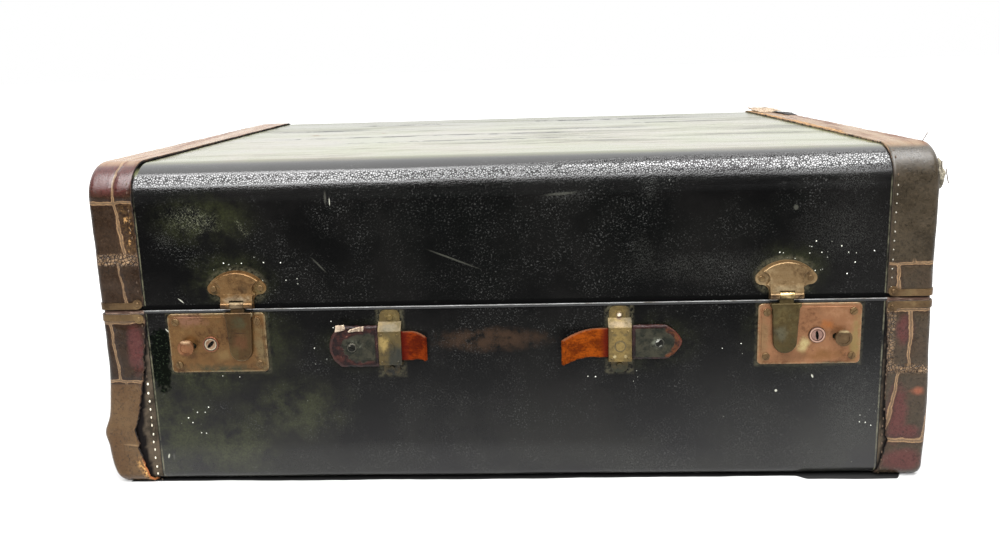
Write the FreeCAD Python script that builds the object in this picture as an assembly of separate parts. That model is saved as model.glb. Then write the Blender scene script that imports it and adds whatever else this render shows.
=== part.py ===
import FreeCAD, Part
import math
import os

# A hard travel case, lying flat and shut. Millimetres, +Z up. The locks and the broken handle face -Y
# and the hinges are at +Y. Everything is drawn about the middle of the case with the floor at zero, and
# is moved at the very end, so that the origin lies under the middle of the whole object.

Vector = FreeCAD.Vector
along_x = Vector(1, 0, 0)
along_y = Vector(0, 1, 0)
along_z = Vector(0, 0, 1)
origin = Vector(0, 0, 0)

# Overall size over the leather bindings
case_width = 610.0
case_depth = 420.0
case_height = 250.0
seam_height = 140.0
seam_gap = 1.2

# The long edges are rolled, widely at the top and less at the foot, and the ends are nearly square
roll_radius = 26.0
foot_radius = 10.0
end_radius = 5.0
smallest_round = 0.4

# How the walls are built up, from the outside in
binding_thickness = 1.6
covering_thickness = 1.0
carcase_thickness = 6.0
lining_thickness = 0.8

# Leather bindings round both ends, and the long tear beside the lower left one
binding_width = 33.0
window_corner = 9.0
tear_width = 13.0
tear_foot = 10.0
tear_head = 13.0
tear_shares = ((0.0, 0.7), (0.3, 1.0), (0.5, 0.7), (0.7, 0.55), (0.88, 0.3), (1.0, 0.0))

# Metal edging round both openings
rim_thickness = 1.0
lip_thickness = 0.6
lip_height = 2.2
tongue_height = 8.0
tongue_clearance = 0.6
skirt_height = 9.0

# Brass clips that hold down the cut ends of the bindings
clip_thickness = 0.7
clip_height = 5.0
clip_seam_gap = 0.2
ear_margin = 0.4
ear_radius = 3.6
ear_shift = 1.3
nail_radius = 0.7
nail_length = 6.0
nail_head_radius = 1.6
nail_head_height = 0.7
head_round_share = 0.6

# Lock plates and their screws
plate_gap = 16.8
plate_width = 74.0
plate_height = 46.0
plate_drop = 3.0
plate_thickness = 1.2
plate_corner = 3.5
plate_edge = 0.4
panel_margin = 2.6
panel_rise = 0.4
panel_edge = 0.25
screw_inset = 6.2
screw_radius = 1.3
screw_length = 6.5
screw_head_radius = 2.8
screw_head_height = 0.9
screw_slot_width = 0.7
screw_slot_depth = 0.5
screw_turn = 35.0

# Lock works behind the plate
pan_side = 4.3
pan_foot = 8.6
pan_height = 27.5
pan_wall = 0.8
bolt_thickness = 1.6
bolt_gap = 0.5
bolt_bar = 4.5
bolt_heel_width = 11.0
bolt_heel_height = 16.5
bolt_travel = 4.0
nose_height = 3.0
nose_length = 3.0
nose_gap = 0.4
spring_thickness = 0.4
spring_height = 13.0
spring_gap = 0.2

# Knob that draws the bolt back
knob_offset = 22.8
knob_drop = 28.0
knob_radius = 6.0
knob_neck_radius = 4.4
knob_reach = 5.4
knob_head_height = 2.2
knob_edge = 0.8
knob_dish = 0.5
knob_dish_radius = 4.2
knob_gap = 0.4
stem_radius = 1.9
stem_clearance = 0.4

# Key barrel and the plug that turns in it
key_offset = 5.3
key_drop = 26.7
barrel_radius = 6.0
barrel_rise = 1.1
barrel_edge = 0.4
barrel_body_radius = 5.2
barrel_depth = 4.6
plug_radius = 4.2
plug_clearance = 0.06
plug_set_back = 0.4
cam_thickness = 1.0
cam_length = 7.5
cam_width = 3.0
keyhole_radius = 1.05
keyhole_width = 1.1
keyhole_length = 2.6
keyhole_rise = 1.3
keyhole_depth = 3.6
keyhole_turn = {"left": 45.0, "right": -10.0}

# Hasps, their pins and the staples behind them
hasp_offset = 18.0
hasp_gap = 0.4
hasp_thickness = 2.8
hasp_top_width = 22.0
hasp_width = 19.4
hasp_end_radius = 8.4
hasp_drop = 1.8
hasp_length = 37.8
hasp_wing = 2.2
hasp_edge = 1.1
knuckle_width = 10.0
knuckle_radius = 2.7
knuckle_gap = 0.35
web_thickness = 1.8
pin_radius = 1.1
pin_clearance = 0.05
pin_stand_off = 3.6
pin_rise = 3.8
pin_end_gap = 0.6
staple_thickness = 2.0
staple_height = 8.0
staple_reach = 4.6
staple_drop = 21.0
staple_rivet_radius = 1.2
staple_rivet_length = 1.6
eye_radius = 1.8
slot_clearance = 1.0
slot_below = 2.4

# Brackets on the lid that carry the hasps, measured from the seam up
bracket_top = 29.5
lobe_spacing = 17.4
lobe_height = 16.0
lobe_radius = 4.6
neck_half_width = 11.8
neck_bottom = 0.9
waist_height = 4.5
waist_bow = 1.4
flange_thickness = 1.2
dome_rise = 3.4
dome_margin = 1.3
dome_edge = 0.9
dome_pocket = 5.4
neck_reach = 2.4
neck_top = 12.5
neck_shoulder = 17.0
window_rise = 7.6
rivet_radius = 1.1
rivet_length = 6.5
rivet_head_radius = 2.3
rivet_head_height = 1.0

# Handle loops, whose heights are measured down from the seam
handle_shift = -3.5
handle_share = 0.4663355
ear_drop = 2.7
upper_ear_height = 14.8
bridge_height = 26.0
lower_ear_height = 10.0
bridge_width = 17.0
bridge_rise = 6.6
loop_metal = 1.3
bridge_slope = 6.0
bridge_foot = 1.6
bridge_edge = 0.5
upper_ear_width = 15.0
upper_ear_corner = 4.5
lower_ear_width = 12.0
lower_ear_corner = 4.5
loop_rivet_inset = 5.6
boss_half_width = 3.4
boss_half_height = 5.2
boss_rise = 0.5
bead_radius = 0.9
bead_inset = 2.6

# What is left of the handle: two torn leather ends, each with a tab, a plate and a screw
strap_width = 22.0
strap_thickness = 3.0
strap_gap = 0.35
strap_drop = 12.5
strap_slide = 8.0
shoulder_gap = 0.4
stub_sections = 6
stub_length = {"left": 18.5, "right": 34.5}
stub_lift = {"left": 3.5, "right": 11.0}
stub_drop = {"left": 2.0, "right": 4.0}
stub_end_width = {"left": 18.5, "right": 19.0}
tab_length = {"left": 37.0, "right": 36.5}
tab_width = {"left": 32.0, "right": 26.5}
tab_point = {"left": 9.0, "right": 12.5}
tab_thickness = 3.6
tab_edge = 0.9
end_plate_thickness = 0.9
end_plate_margin = 2.4
end_screw_inset = 19.6
end_screw_radius = 3.4
end_screw_height = 1.0
end_shank_radius = 1.5
end_slot_turn = {"left": 30.0, "right": -60.0}

# Stop hinges at the back
hinge_inset = 102.0
leaf_width = 46.0
leaf_height = 20.0
leaf_thickness = 1.2
leaf_corner = 4.0
barrel_knuckle_radius = 2.8
outer_knuckle_share = 0.3
hinge_gap = 0.3
hinge_stand_off = 3.1
hinge_pin_radius = 1.2
hinge_pin_clearance = 0.05
hinge_pin_head_radius = 1.9
hinge_pin_head_length = 1.0
stop_angle = 100.0
stop_length = 7.0
stop_thickness = 2.0
stop_gap = 0.2
hinge_rivet_spacing = 30.0
hinge_rivet_drop = 13.0
recess_gap = 0.6

# Working allowances
quarter_turn = 90.0
half_turn = 180.0
overrun = 30.0
touch_limit = 0.001

# Depths of the layers, measured in from the outside of the bindings
covering_outer = binding_thickness
carcase_outer = covering_outer + covering_thickness
lining_outer = carcase_outer + carcase_thickness
cavity_outer = lining_outer + lining_thickness
lip_outer = covering_outer - lip_thickness
tongue_outer = cavity_outer + tongue_clearance
tongue_inner = tongue_outer + rim_thickness

# Planes and axes that several pieces share
front_face = covering_outer - case_depth / 2
back_face = case_depth / 2 - covering_outer
lid_bottom = seam_height + seam_gap
base_wall_top = seam_height - rim_thickness
lid_wall_bottom = lid_bottom + rim_thickness
base_lip_bottom = seam_height - lip_height
lid_lip_top = lid_bottom + lip_height
binding_edge = case_width / 2 - binding_width
tear_length = seam_height - tear_head - tear_foot
hinge_spacing = binding_edge - hinge_inset
hinge_y = back_face + hinge_stand_off
hinge_z = seam_height + seam_gap / 2
lock_centre = binding_edge - plate_gap - plate_width / 2
plate_top = seam_height - plate_drop
plate_bottom = plate_top - plate_height
plate_front = front_face - plate_thickness
panel_front = plate_front - panel_rise
pan_back = front_face + covering_thickness + carcase_thickness
bolt_front = front_face + bolt_gap
hasp_centre = lock_centre - hasp_offset
hasp_back = panel_front - hasp_gap
hasp_front = hasp_back - hasp_thickness
hasp_top = seam_height - hasp_drop
hasp_pin_y = front_face - pin_stand_off
hasp_pin_z = seam_height + pin_rise
staple_z = seam_height - staple_drop
knob_x = lock_centre + knob_offset
knob_z = seam_height - knob_drop
key_x = lock_centre + key_offset
key_z = seam_height - key_drop
loop_spacing = handle_share * (lock_centre - plate_width / 2)
upper_ear_top = seam_height - ear_drop
bridge_top = upper_ear_top - upper_ear_height
bridge_bottom = bridge_top - bridge_height
lower_ear_bottom = bridge_bottom - lower_ear_height
strap_height = bridge_top - strap_drop
strap_back = front_face - strap_gap
tab_front = strap_back - tab_thickness
sides = ("left", "right")
side_sign = {"left": -1, "right": 1}


def box(x_low, x_high, y_low, y_high, z_low, z_high):
    """A plain block between two corners."""
    return Part.makeBox(x_high - x_low, y_high - y_low, z_high - z_low, Vector(x_low, y_low, z_low))


def rod(radius, length, start, direction):
    """A round bar from a start point along a direction."""
    return Part.makeCylinder(radius, length, start, direction)


def join(shapes):
    """Overlapping or touching shapes as one clean solid."""
    return shapes[0].multiFuse(shapes[1:]).removeSplitter()


def group(shapes):
    """Separate solids that share one node."""
    return Part.makeCompound(shapes)


def cut_all(shape, cutters):
    """A shape with every cutter taken out of it."""
    return shape.cut(cutters)


def mirrored(shape):
    """The same shape on the other side of the case's middle."""
    return shape.mirror(origin, along_x)


def on_side(shape, side):
    """A shape drawn for the right side, put on the named side."""
    return mirrored(shape) if side == "left" else shape


def both_sides(shapes):
    """Shapes drawn for the right side, with their mirror images."""
    return shapes + [mirrored(shape) for shape in shapes]


def upright_edges(shape):
    """The edges of a block that run along Z."""
    return [edge for edge in shape.Edges if edge.BoundBox.XLength + edge.BoundBox.YLength < touch_limit]


def lengthwise_edges(shape):
    """The edges of a block that run along X."""
    return [edge for edge in shape.Edges if edge.BoundBox.YLength + edge.BoundBox.ZLength < touch_limit]


def rounded(shape, radius, edges):
    """A shape with some edges rounded, or as it was where an inset has used up their radius."""
    return shape.makeFillet(radius, edges) if radius > smallest_round else shape


def rounded_case(inset):
    """The closed case's outer form, drawn in by an inset on every side."""
    block = box(inset - case_width / 2, case_width / 2 - inset, inset - case_depth / 2,
                case_depth / 2 - inset, inset, case_height - inset)
    top_edges = [edge for edge in lengthwise_edges(block) if edge.BoundBox.ZMin > case_height / 2]
    block = rounded(block, roll_radius - inset, top_edges)
    foot_edges = [edge for edge in lengthwise_edges(block) if edge.BoundBox.ZMax < inset + touch_limit]
    block = rounded(block, foot_radius - inset, foot_edges)
    end_edges = [edge for edge in block.Edges if edge.BoundBox.XLength < touch_limit]
    return rounded(block, end_radius - inset, end_edges)


def layer(inset_outer, inset_inner, z_low, z_high):
    """One layer of the case's walls between two heights."""
    shell = rounded_case(inset_outer).cut(rounded_case(inset_inner))
    return shell.common(box(-case_width, case_width, -case_depth, case_depth, z_low, z_high))


def upright_block(inset, z_low, z_high):
    """A slab of the case's plan shape between two heights, with round corners in plan."""
    slab = box(inset - case_width / 2, case_width / 2 - inset, inset - case_depth / 2,
               case_depth / 2 - inset, z_low, z_high)
    return rounded(slab, end_radius - inset, upright_edges(slab))


def upright_ring(inset_outer, inset_inner, z_low, z_high):
    """A band that follows the case's walls between two heights."""
    hole = upright_block(inset_inner, z_low - overrun, z_high + overrun)
    return upright_block(inset_outer, z_low, z_high).cut(hole)


def outline_slab(start, steps, y_low, y_high):
    """A closed outline in XZ made thick along Y. A step is a line's end, or an arc's middle and end."""
    place = Vector(start[0], y_low, start[1])
    first = place
    edges = []
    for step in steps:
        points = [Vector(x_place, y_low, z_place) for x_place, z_place in step]
        curve = Part.LineSegment(place, *points) if len(points) == 1 else Part.Arc(place, *points)
        edges.append(curve.toShape())
        place = points[-1]
    if place.distanceToPoint(first) > touch_limit:
        edges.append(Part.LineSegment(place, first).toShape())
    return Part.Face(Part.Wire(edges)).extrude(Vector(0, y_high - y_low, 0))


def rounded_slab(x_low, x_high, z_low, z_high, radius, y_low, y_high):
    """A rectangle with round corners, made thick along Y."""
    slab = box(x_low, x_high, y_low, y_high, z_low, z_high)
    corners = [edge for edge in slab.Edges if edge.BoundBox.XLength + edge.BoundBox.ZLength < touch_limit]
    return slab.makeFillet(radius, corners)


def edges_in_plane_y(shape, y_place):
    """The edges that lie wholly in a plane square to Y."""
    return [edge for edge in shape.Edges
            if max(abs(edge.BoundBox.YMin - y_place), abs(edge.BoundBox.YMax - y_place)) < touch_limit]


def soften_front(shape, y_place, radius):
    """A shape with the edges of its front plane rounded."""
    return shape.makeFillet(radius, edges_in_plane_y(shape, y_place))


def front_fastener(x_place, z_place, y_seat, shank_radius, shank_length, head_radius, head_height):
    """A round-headed nail, rivet or screw in the front wall, whose head sits at y_seat."""
    shank = rod(shank_radius, shank_length, Vector(x_place, y_seat, z_place), along_y)
    head = rod(head_radius, head_height, Vector(x_place, y_seat - head_height, z_place), along_y)
    head = soften_front(head, y_seat - head_height, head_height * head_round_share)
    return join([head, shank])


def driver_slot(x_place, z_place, y_front, radius, turn):
    """The cutter for a screwdriver slot across a screw's head."""
    slot = box(-radius - overrun, radius + overrun, y_front - overrun, y_front + screw_slot_depth,
               -screw_slot_width / 2, screw_slot_width / 2)
    slot.rotate(origin, along_y, turn)
    slot.translate(Vector(x_place, 0, z_place))
    return slot


def binding(side, z_low, z_high):
    """The leather round one end of the base or the lid, open over the middle of the end wall."""
    leather = layer(0, covering_outer, z_low, z_high)
    leather = leather.common(box(binding_edge, case_width, -case_depth, case_depth, -overrun,
                                 case_height + overrun))
    window = box(binding_edge, case_width / 2 + overrun,
                 binding_width - case_depth / 2, case_depth / 2 - binding_width,
                 binding_width, case_height - binding_width)
    window = window.makeFillet(window_corner, lengthwise_edges(window))
    return on_side(leather.cut(window), side)


def tear():
    """The cutter for the strip of leather lost from the inner edge of the lower left binding."""
    far_side = overrun - binding_edge
    points = [((-binding_edge - width_share * tear_width, tear_foot + height_share * tear_length),)
              for height_share, width_share in tear_shares]
    steps = points + [((far_side, tear_foot + tear_length),), ((far_side, tear_foot),)]
    return outline_slab((-binding_edge, tear_foot), steps, -case_depth / 2 - overrun,
                        front_face + touch_limit)


def clip(z_low, ear_z):
    """The brass strip round one upright corner, with a nailed ear at each end, drawn at the right front."""
    ear_x = binding_edge + ear_margin + ear_radius
    ear_y = -case_depth / 2 + binding_width - ear_margin - ear_radius
    ear_front = -case_depth / 2 - clip_thickness
    strip = upright_ring(-clip_thickness, 0, z_low, z_low + clip_height)
    strip = strip.common(box(ear_x, case_width, -case_depth, ear_y, z_low, z_low + clip_height))
    front_ear = rod(ear_radius, clip_thickness, Vector(ear_x, ear_front, ear_z), along_y)
    end_ear = rod(ear_radius, clip_thickness, Vector(case_width / 2, ear_y, ear_z), along_x)
    return join([strip, front_ear, end_ear])


def clip_nails(ear_z):
    """The two nails of the clip at the right front."""
    ear_x = binding_edge + ear_margin + ear_radius
    front_nail = front_fastener(ear_x, ear_z, -case_depth / 2 - clip_thickness, nail_radius, nail_length,
                                nail_head_radius, nail_head_height)
    end_nail = front_fastener(0, ear_z, 0, nail_radius, nail_length, nail_head_radius, nail_head_height)
    end_nail.rotate(origin, along_z, quarter_turn)
    end_nail.translate(Vector(case_width / 2 + clip_thickness,
                              -case_depth / 2 + binding_width - ear_margin - ear_radius, 0))
    return [front_nail, end_nail]


def front_and_back(shapes):
    """Shapes drawn at the front, with their mirror images at the back."""
    return shapes + [shape.mirror(origin, along_y) for shape in shapes]


def lock_screw_places():
    """The four corners of the right lock plate where its screws go."""
    half_width = plate_width / 2 - screw_inset
    return [(lock_centre + x_sign * half_width, z_place)
            for x_sign in (-1, 1) for z_place in (plate_bottom + screw_inset, plate_top - screw_inset)]


def lock_screws():
    """The four slotted screws of the right lock plate."""
    screws = []
    for number, (x_place, z_place) in enumerate(lock_screw_places()):
        screw = front_fastener(x_place, z_place, panel_front, screw_radius, screw_length,
                               screw_head_radius, screw_head_height)
        slot = driver_slot(x_place, z_place, panel_front - screw_head_height, screw_head_radius,
                           screw_turn * (number + 1))
        screws.append(screw.cut(slot))
    return screws


def staple_slot():
    """The cutter for the gap, open at the top, that lets the right staple in and out."""
    half_width = staple_thickness / 2 + slot_clearance
    return box(hasp_centre - half_width, hasp_centre + half_width, front_face - overrun,
               front_face + staple_reach + slot_clearance,
               staple_z - staple_height / 2 - slot_below, seam_height + overrun)


def lock_plate():
    """The right lock plate, with a raised panel and its openings."""
    x_low = lock_centre - plate_width / 2
    x_high = lock_centre + plate_width / 2
    plate = rounded_slab(x_low, x_high, plate_bottom, plate_top, plate_corner, plate_front, front_face)
    plate = soften_front(plate, plate_front, plate_edge)
    panel = rounded_slab(x_low + panel_margin, x_high - panel_margin, plate_bottom + panel_margin,
                         plate_top - panel_margin, plate_corner - plate_edge, panel_front, front_face)
    panel = soften_front(panel, panel_front, panel_edge)
    stem_room = stem_radius + stem_clearance
    stem_slot = rounded_slab(knob_x - bolt_travel - stem_room, knob_x + stem_room, knob_z - stem_room,
                             knob_z + stem_room, stem_room - touch_limit, front_face - overrun,
                             front_face + overrun)
    key_hole = rod(barrel_body_radius, overrun, Vector(key_x, panel_front - overrun / 2, key_z), along_y)
    return cut_all(join([plate, panel]), [stem_slot, key_hole, staple_slot()])


def pan_block(wall):
    """The outside of the lock case, drawn in by a wall, as a block."""
    x_low = lock_centre - plate_width / 2 + pan_side
    x_high = lock_centre + plate_width / 2 - pan_side
    z_low = plate_bottom + pan_foot
    return box(x_low + wall, x_high - wall, front_face - wall, pan_back - wall, z_low + wall,
               z_low + pan_height - wall)


def lock_case():
    """The sheet metal case let into the wall behind the right lock plate, open towards the plate."""
    return cut_all(pan_block(0), [pan_block(pan_wall), staple_slot()])


def catch_bolt():
    """The flat bolt that runs under the key barrel and hooks the staple from its far side."""
    nose_tip = hasp_centre - staple_thickness / 2 - nose_gap
    upright_high = nose_tip - nose_length
    upright_low = upright_high - bolt_bar
    foot = plate_bottom + pan_foot + pan_wall + bolt_gap
    heel_low = knob_x - bolt_heel_width / 2
    heel_high = knob_x + bolt_heel_width / 2
    steps = [((heel_high, foot),), ((heel_high, foot + bolt_heel_height),),
             ((heel_low, foot + bolt_heel_height),), ((heel_low, foot + bolt_bar),),
             ((upright_high, foot + bolt_bar),),
             ((upright_high, staple_z - nose_height / 2),), ((nose_tip, staple_z - nose_height / 2),),
             ((nose_tip, staple_z + nose_height / 2),), ((upright_low, staple_z + nose_height / 2),)]
    bolt = outline_slab((upright_low, foot), steps, bolt_front, bolt_front + bolt_thickness)
    return bolt.cut(rod(stem_radius, overrun, Vector(knob_x, front_face - overrun / 2, knob_z), along_y))


def catch_spring():
    """The bowed leaf that pushes the right bolt back out, between the lock case and the bolt."""
    wall_x = lock_centre - plate_width / 2 + pan_side + pan_wall
    bolt_x = hasp_centre - staple_thickness / 2 - nose_gap - nose_length - bolt_bar
    tip_x = bolt_x - spring_gap
    z_low = plate_bottom + pan_foot + pan_wall + bolt_gap
    z_high = z_low + spring_height
    z_middle = (z_low + z_high) / 2
    steps = [((tip_x, z_middle), (wall_x, z_high)), ((wall_x + spring_thickness, z_high),),
             ((tip_x - spring_thickness, z_middle), (wall_x + spring_thickness, z_low))]
    inner = [((tip_x - spring_thickness, z_middle), (wall_x, z_high - spring_thickness))]
    leaf = outline_slab((wall_x, z_low), [steps[0]], bolt_front, bolt_front + bolt_thickness)
    hollow = outline_slab((wall_x, z_low + spring_thickness), inner, bolt_front - overrun,
                          bolt_front + overrun)
    return leaf.cut(hollow)


def catch_knob():
    """The right knob: a dished head on a neck, with a stem through the plate and the bolt."""
    neck_base = panel_front - knob_gap
    knob_front = panel_front - knob_reach
    neck = rod(knob_neck_radius, knob_reach - knob_gap, Vector(knob_x, knob_front, knob_z), along_y)
    head = rod(knob_radius, knob_head_height, Vector(knob_x, knob_front, knob_z), along_y)
    head = head.makeFillet(knob_edge, head.Edges[0:1]
                           + edges_in_plane_y(head, knob_front + knob_head_height))
    dish = rod(knob_dish_radius, knob_dish, Vector(knob_x, knob_front, knob_z), along_y)
    stem_length = bolt_front + bolt_thickness - neck_base
    stem = rod(stem_radius, stem_length + knob_gap, Vector(knob_x, neck_base - knob_gap, knob_z), along_y)
    return join([neck, head, stem]).cut(dish)


def key_barrel():
    """The fixed barrel of the right lock, with its flange on the plate."""
    flange_front = panel_front - barrel_rise
    flange = rod(barrel_radius, barrel_rise, Vector(key_x, flange_front, key_z), along_y)
    flange = soften_front(flange, flange_front, barrel_edge)
    body = rod(barrel_body_radius, front_face + barrel_depth - flange_front,
               Vector(key_x, flange_front, key_z), along_y)
    body = body.common(rod(barrel_body_radius, overrun, Vector(key_x, panel_front, key_z), along_y))
    bore_start = Vector(key_x, flange_front - overrun / 2, key_z)
    bore = rod(plug_radius + plug_clearance, overrun, bore_start, along_y)
    return join([flange, body]).cut(bore)


def key_plug(side):
    """The turning plug with a plain keyhole, and the cam on its tail."""
    x_place = side_sign[side] * key_x
    plug_front = panel_front - barrel_rise + plug_set_back
    tail = front_face + barrel_depth + hinge_gap
    plug = rod(plug_radius, tail - plug_front, Vector(0, plug_front, 0), along_y)
    cam = box(-cam_width / 2, cam_width / 2, tail - touch_limit, tail + cam_thickness, -cam_width / 2,
              cam_length)
    keyhole_slot = box(-keyhole_width / 2, keyhole_width / 2, plug_front - overrun,
                       plug_front + keyhole_depth, keyhole_rise - keyhole_radius - keyhole_length,
                       keyhole_rise)
    keyhole_eye = rod(keyhole_radius, overrun + keyhole_depth, Vector(0, plug_front - overrun, keyhole_rise),
                      along_y)
    cutters = [keyhole_slot, keyhole_eye]
    for cutter in cutters:
        cutter.rotate(origin, along_y, keyhole_turn[side])
    finished = cut_all(join([plug, cam]), cutters)
    finished.translate(Vector(x_place, 0, key_z))
    return finished


def hasp():
    """The right hasp: a thick tongue with small wings, hung from a knuckle."""
    bottom = hasp_top - hasp_length
    half_top = hasp_top_width / 2
    half_width = hasp_width / 2
    centre = hasp_centre
    steps = [((centre + half_top, hasp_top),), ((centre + half_top, hasp_top - hasp_wing),),
             ((centre + half_width, hasp_top - 2 * hasp_wing),),
             ((centre + hasp_end_radius, bottom + hasp_end_radius),),
             ((centre, bottom), (centre - hasp_end_radius, bottom + hasp_end_radius)),
             ((centre - half_width, hasp_top - 2 * hasp_wing),),
             ((centre - half_top, hasp_top - hasp_wing),)]
    tongue = outline_slab((centre - half_top, hasp_top), steps, hasp_front, hasp_back)
    tongue = soften_front(tongue, hasp_front, hasp_edge)
    half_knuckle = knuckle_width / 2
    knuckle = rod(knuckle_radius, knuckle_width, Vector(centre - half_knuckle, hasp_pin_y, hasp_pin_z),
                  along_x)
    web_middle = (hasp_front + hasp_back) / 2
    web = box(centre - half_knuckle, centre + half_knuckle, web_middle - web_thickness / 2,
              web_middle + web_thickness / 2, hasp_top - hasp_wing, hasp_pin_z)
    bore = rod(pin_radius + pin_clearance, hasp_top_width, Vector(centre - half_top, hasp_pin_y, hasp_pin_z),
               along_x)
    return cut_all(join([tongue, web, knuckle]), [bore, staple_rivet()])


def staple_rivet():
    """The rivet of the right staple, which is also the cutter for its hole in the hasp."""
    return rod(staple_rivet_radius, staple_rivet_length,
               Vector(hasp_centre, hasp_back - staple_rivet_length, staple_z), along_y)


def staple():
    """The eyed plate on the back of the right hasp, with the rivet that holds it."""
    plate = box(hasp_centre - staple_thickness / 2, hasp_centre + staple_thickness / 2, hasp_back,
                front_face + staple_reach, staple_z - staple_height / 2, staple_z + staple_height / 2)
    eye_y = bolt_front + bolt_thickness / 2
    eye = rod(eye_radius, overrun, Vector(hasp_centre - overrun / 2, eye_y, staple_z), along_x)
    return join([plate.cut(eye), staple_rivet()])


def bracket_outline(y_low, y_high, margin):
    """The mushroom outline of the hasp bracket, drawn in by a margin and made thick along Y."""
    reach = lobe_radius - margin
    slant = reach * math.sqrt(0.5)
    low = seam_height
    lobe_z = low + lobe_height
    neck = neck_half_width - margin
    right_join = (hasp_centre + lobe_spacing + slant, lobe_z + slant)
    left_join = (hasp_centre - lobe_spacing - slant, lobe_z + slant)
    right_foot = (hasp_centre + lobe_spacing, lobe_z - reach)
    left_foot = (hasp_centre - lobe_spacing, lobe_z - reach)
    bow_z = (low + waist_height + lobe_z - reach) / 2 + waist_bow
    steps = [((hasp_centre + neck, low + neck_bottom),), ((hasp_centre + neck, low + waist_height),),
             ((hasp_centre + neck + waist_bow, bow_z), right_foot),
             ((hasp_centre + lobe_spacing + reach, lobe_z), right_join),
             ((hasp_centre, low + bracket_top - margin), left_join),
             ((hasp_centre - lobe_spacing - reach, lobe_z), left_foot),
             ((hasp_centre - neck - waist_bow, bow_z), (hasp_centre - neck, low + waist_height))]
    return outline_slab((hasp_centre - neck, low + neck_bottom), steps, y_low, y_high)


def neck_profile():
    """The swelling of the bracket that holds the pin, as a bar along X cut to the bracket's outline."""
    x_low = hasp_centre - neck_half_width
    low = seam_height + neck_bottom
    slant = neck_reach * math.sqrt(0.5)
    front = Vector(x_low, hasp_pin_y - neck_reach, hasp_pin_z)
    under = Vector(x_low, hasp_pin_y, hasp_pin_z - neck_reach)
    upper = Vector(x_low, hasp_pin_y - slant, hasp_pin_z + slant)
    dome = Vector(x_low, front_face - dome_rise, seam_height + neck_top)
    shoulder = Vector(x_low, front_face - dome_rise, seam_height + neck_shoulder)
    straight = [upper, dome, shoulder, Vector(x_low, front_face, seam_height + neck_shoulder),
                Vector(x_low, front_face, low), Vector(x_low, hasp_pin_y, low), under]
    edges = [Part.LineSegment(first, second).toShape() for first, second in zip(straight, straight[1:])]
    edges.append(Part.Arc(under, front, upper).toShape())
    bar = Part.Face(Part.Wire(edges)).extrude(Vector(2 * neck_half_width, 0, 0))
    return bar.common(bracket_outline(front_face - overrun, front_face, 0))


def hasp_bracket():
    """The right bracket on the lid: a flange with a dished dome, a neck, a window and the pin's hole."""
    flange = bracket_outline(front_face - flange_thickness, front_face, 0)
    dome = bracket_outline(front_face - dome_rise, front_face, dome_margin)
    pocket_start = front_face - flange_thickness - overrun
    pockets = [rod(dome_pocket, overrun, Vector(hasp_centre + x_sign * lobe_spacing, pocket_start,
                                                seam_height + lobe_height), along_y)
               for x_sign in (-1, 1)]
    dome = soften_front(cut_all(dome, pockets), front_face - dome_rise, dome_edge)
    half_window = knuckle_width / 2 + knuckle_gap
    window = box(hasp_centre - half_window, hasp_centre + half_window, front_face - overrun,
                 front_face + overrun, seam_height - overrun, seam_height + window_rise)
    bore = rod(pin_radius, overrun, Vector(hasp_centre - overrun / 2, hasp_pin_y, hasp_pin_z), along_x)
    return cut_all(join([flange, dome, neck_profile()]), [window, bore])


def hasp_pin():
    """The pin on which the right hasp swings."""
    half_length = neck_half_width - pin_end_gap
    return rod(pin_radius, 2 * half_length, Vector(hasp_centre - half_length, hasp_pin_y, hasp_pin_z),
               along_x)


def bracket_rivets():
    """The two rivets of the right bracket."""
    return [front_fastener(hasp_centre + x_sign * lobe_spacing, seam_height + lobe_height,
                           front_face - flange_thickness, rivet_radius, rivet_length, rivet_head_radius,
                           rivet_head_height) for x_sign in (-1, 1)]


def loop_x(side):
    """The middle of a handle loop."""
    return handle_shift + side_sign[side] * loop_spacing


def bar_of_profile(points, x_low, x_high):
    """A closed outline in the YZ plane, given as Y and Z, made long along X."""
    corners = [Vector(x_low, y_place, z_place) for y_place, z_place in points]
    face = Part.Face(Part.makePolygon(corners + corners[:1]))
    return face.extrude(Vector(x_high - x_low, 0, 0))


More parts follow.
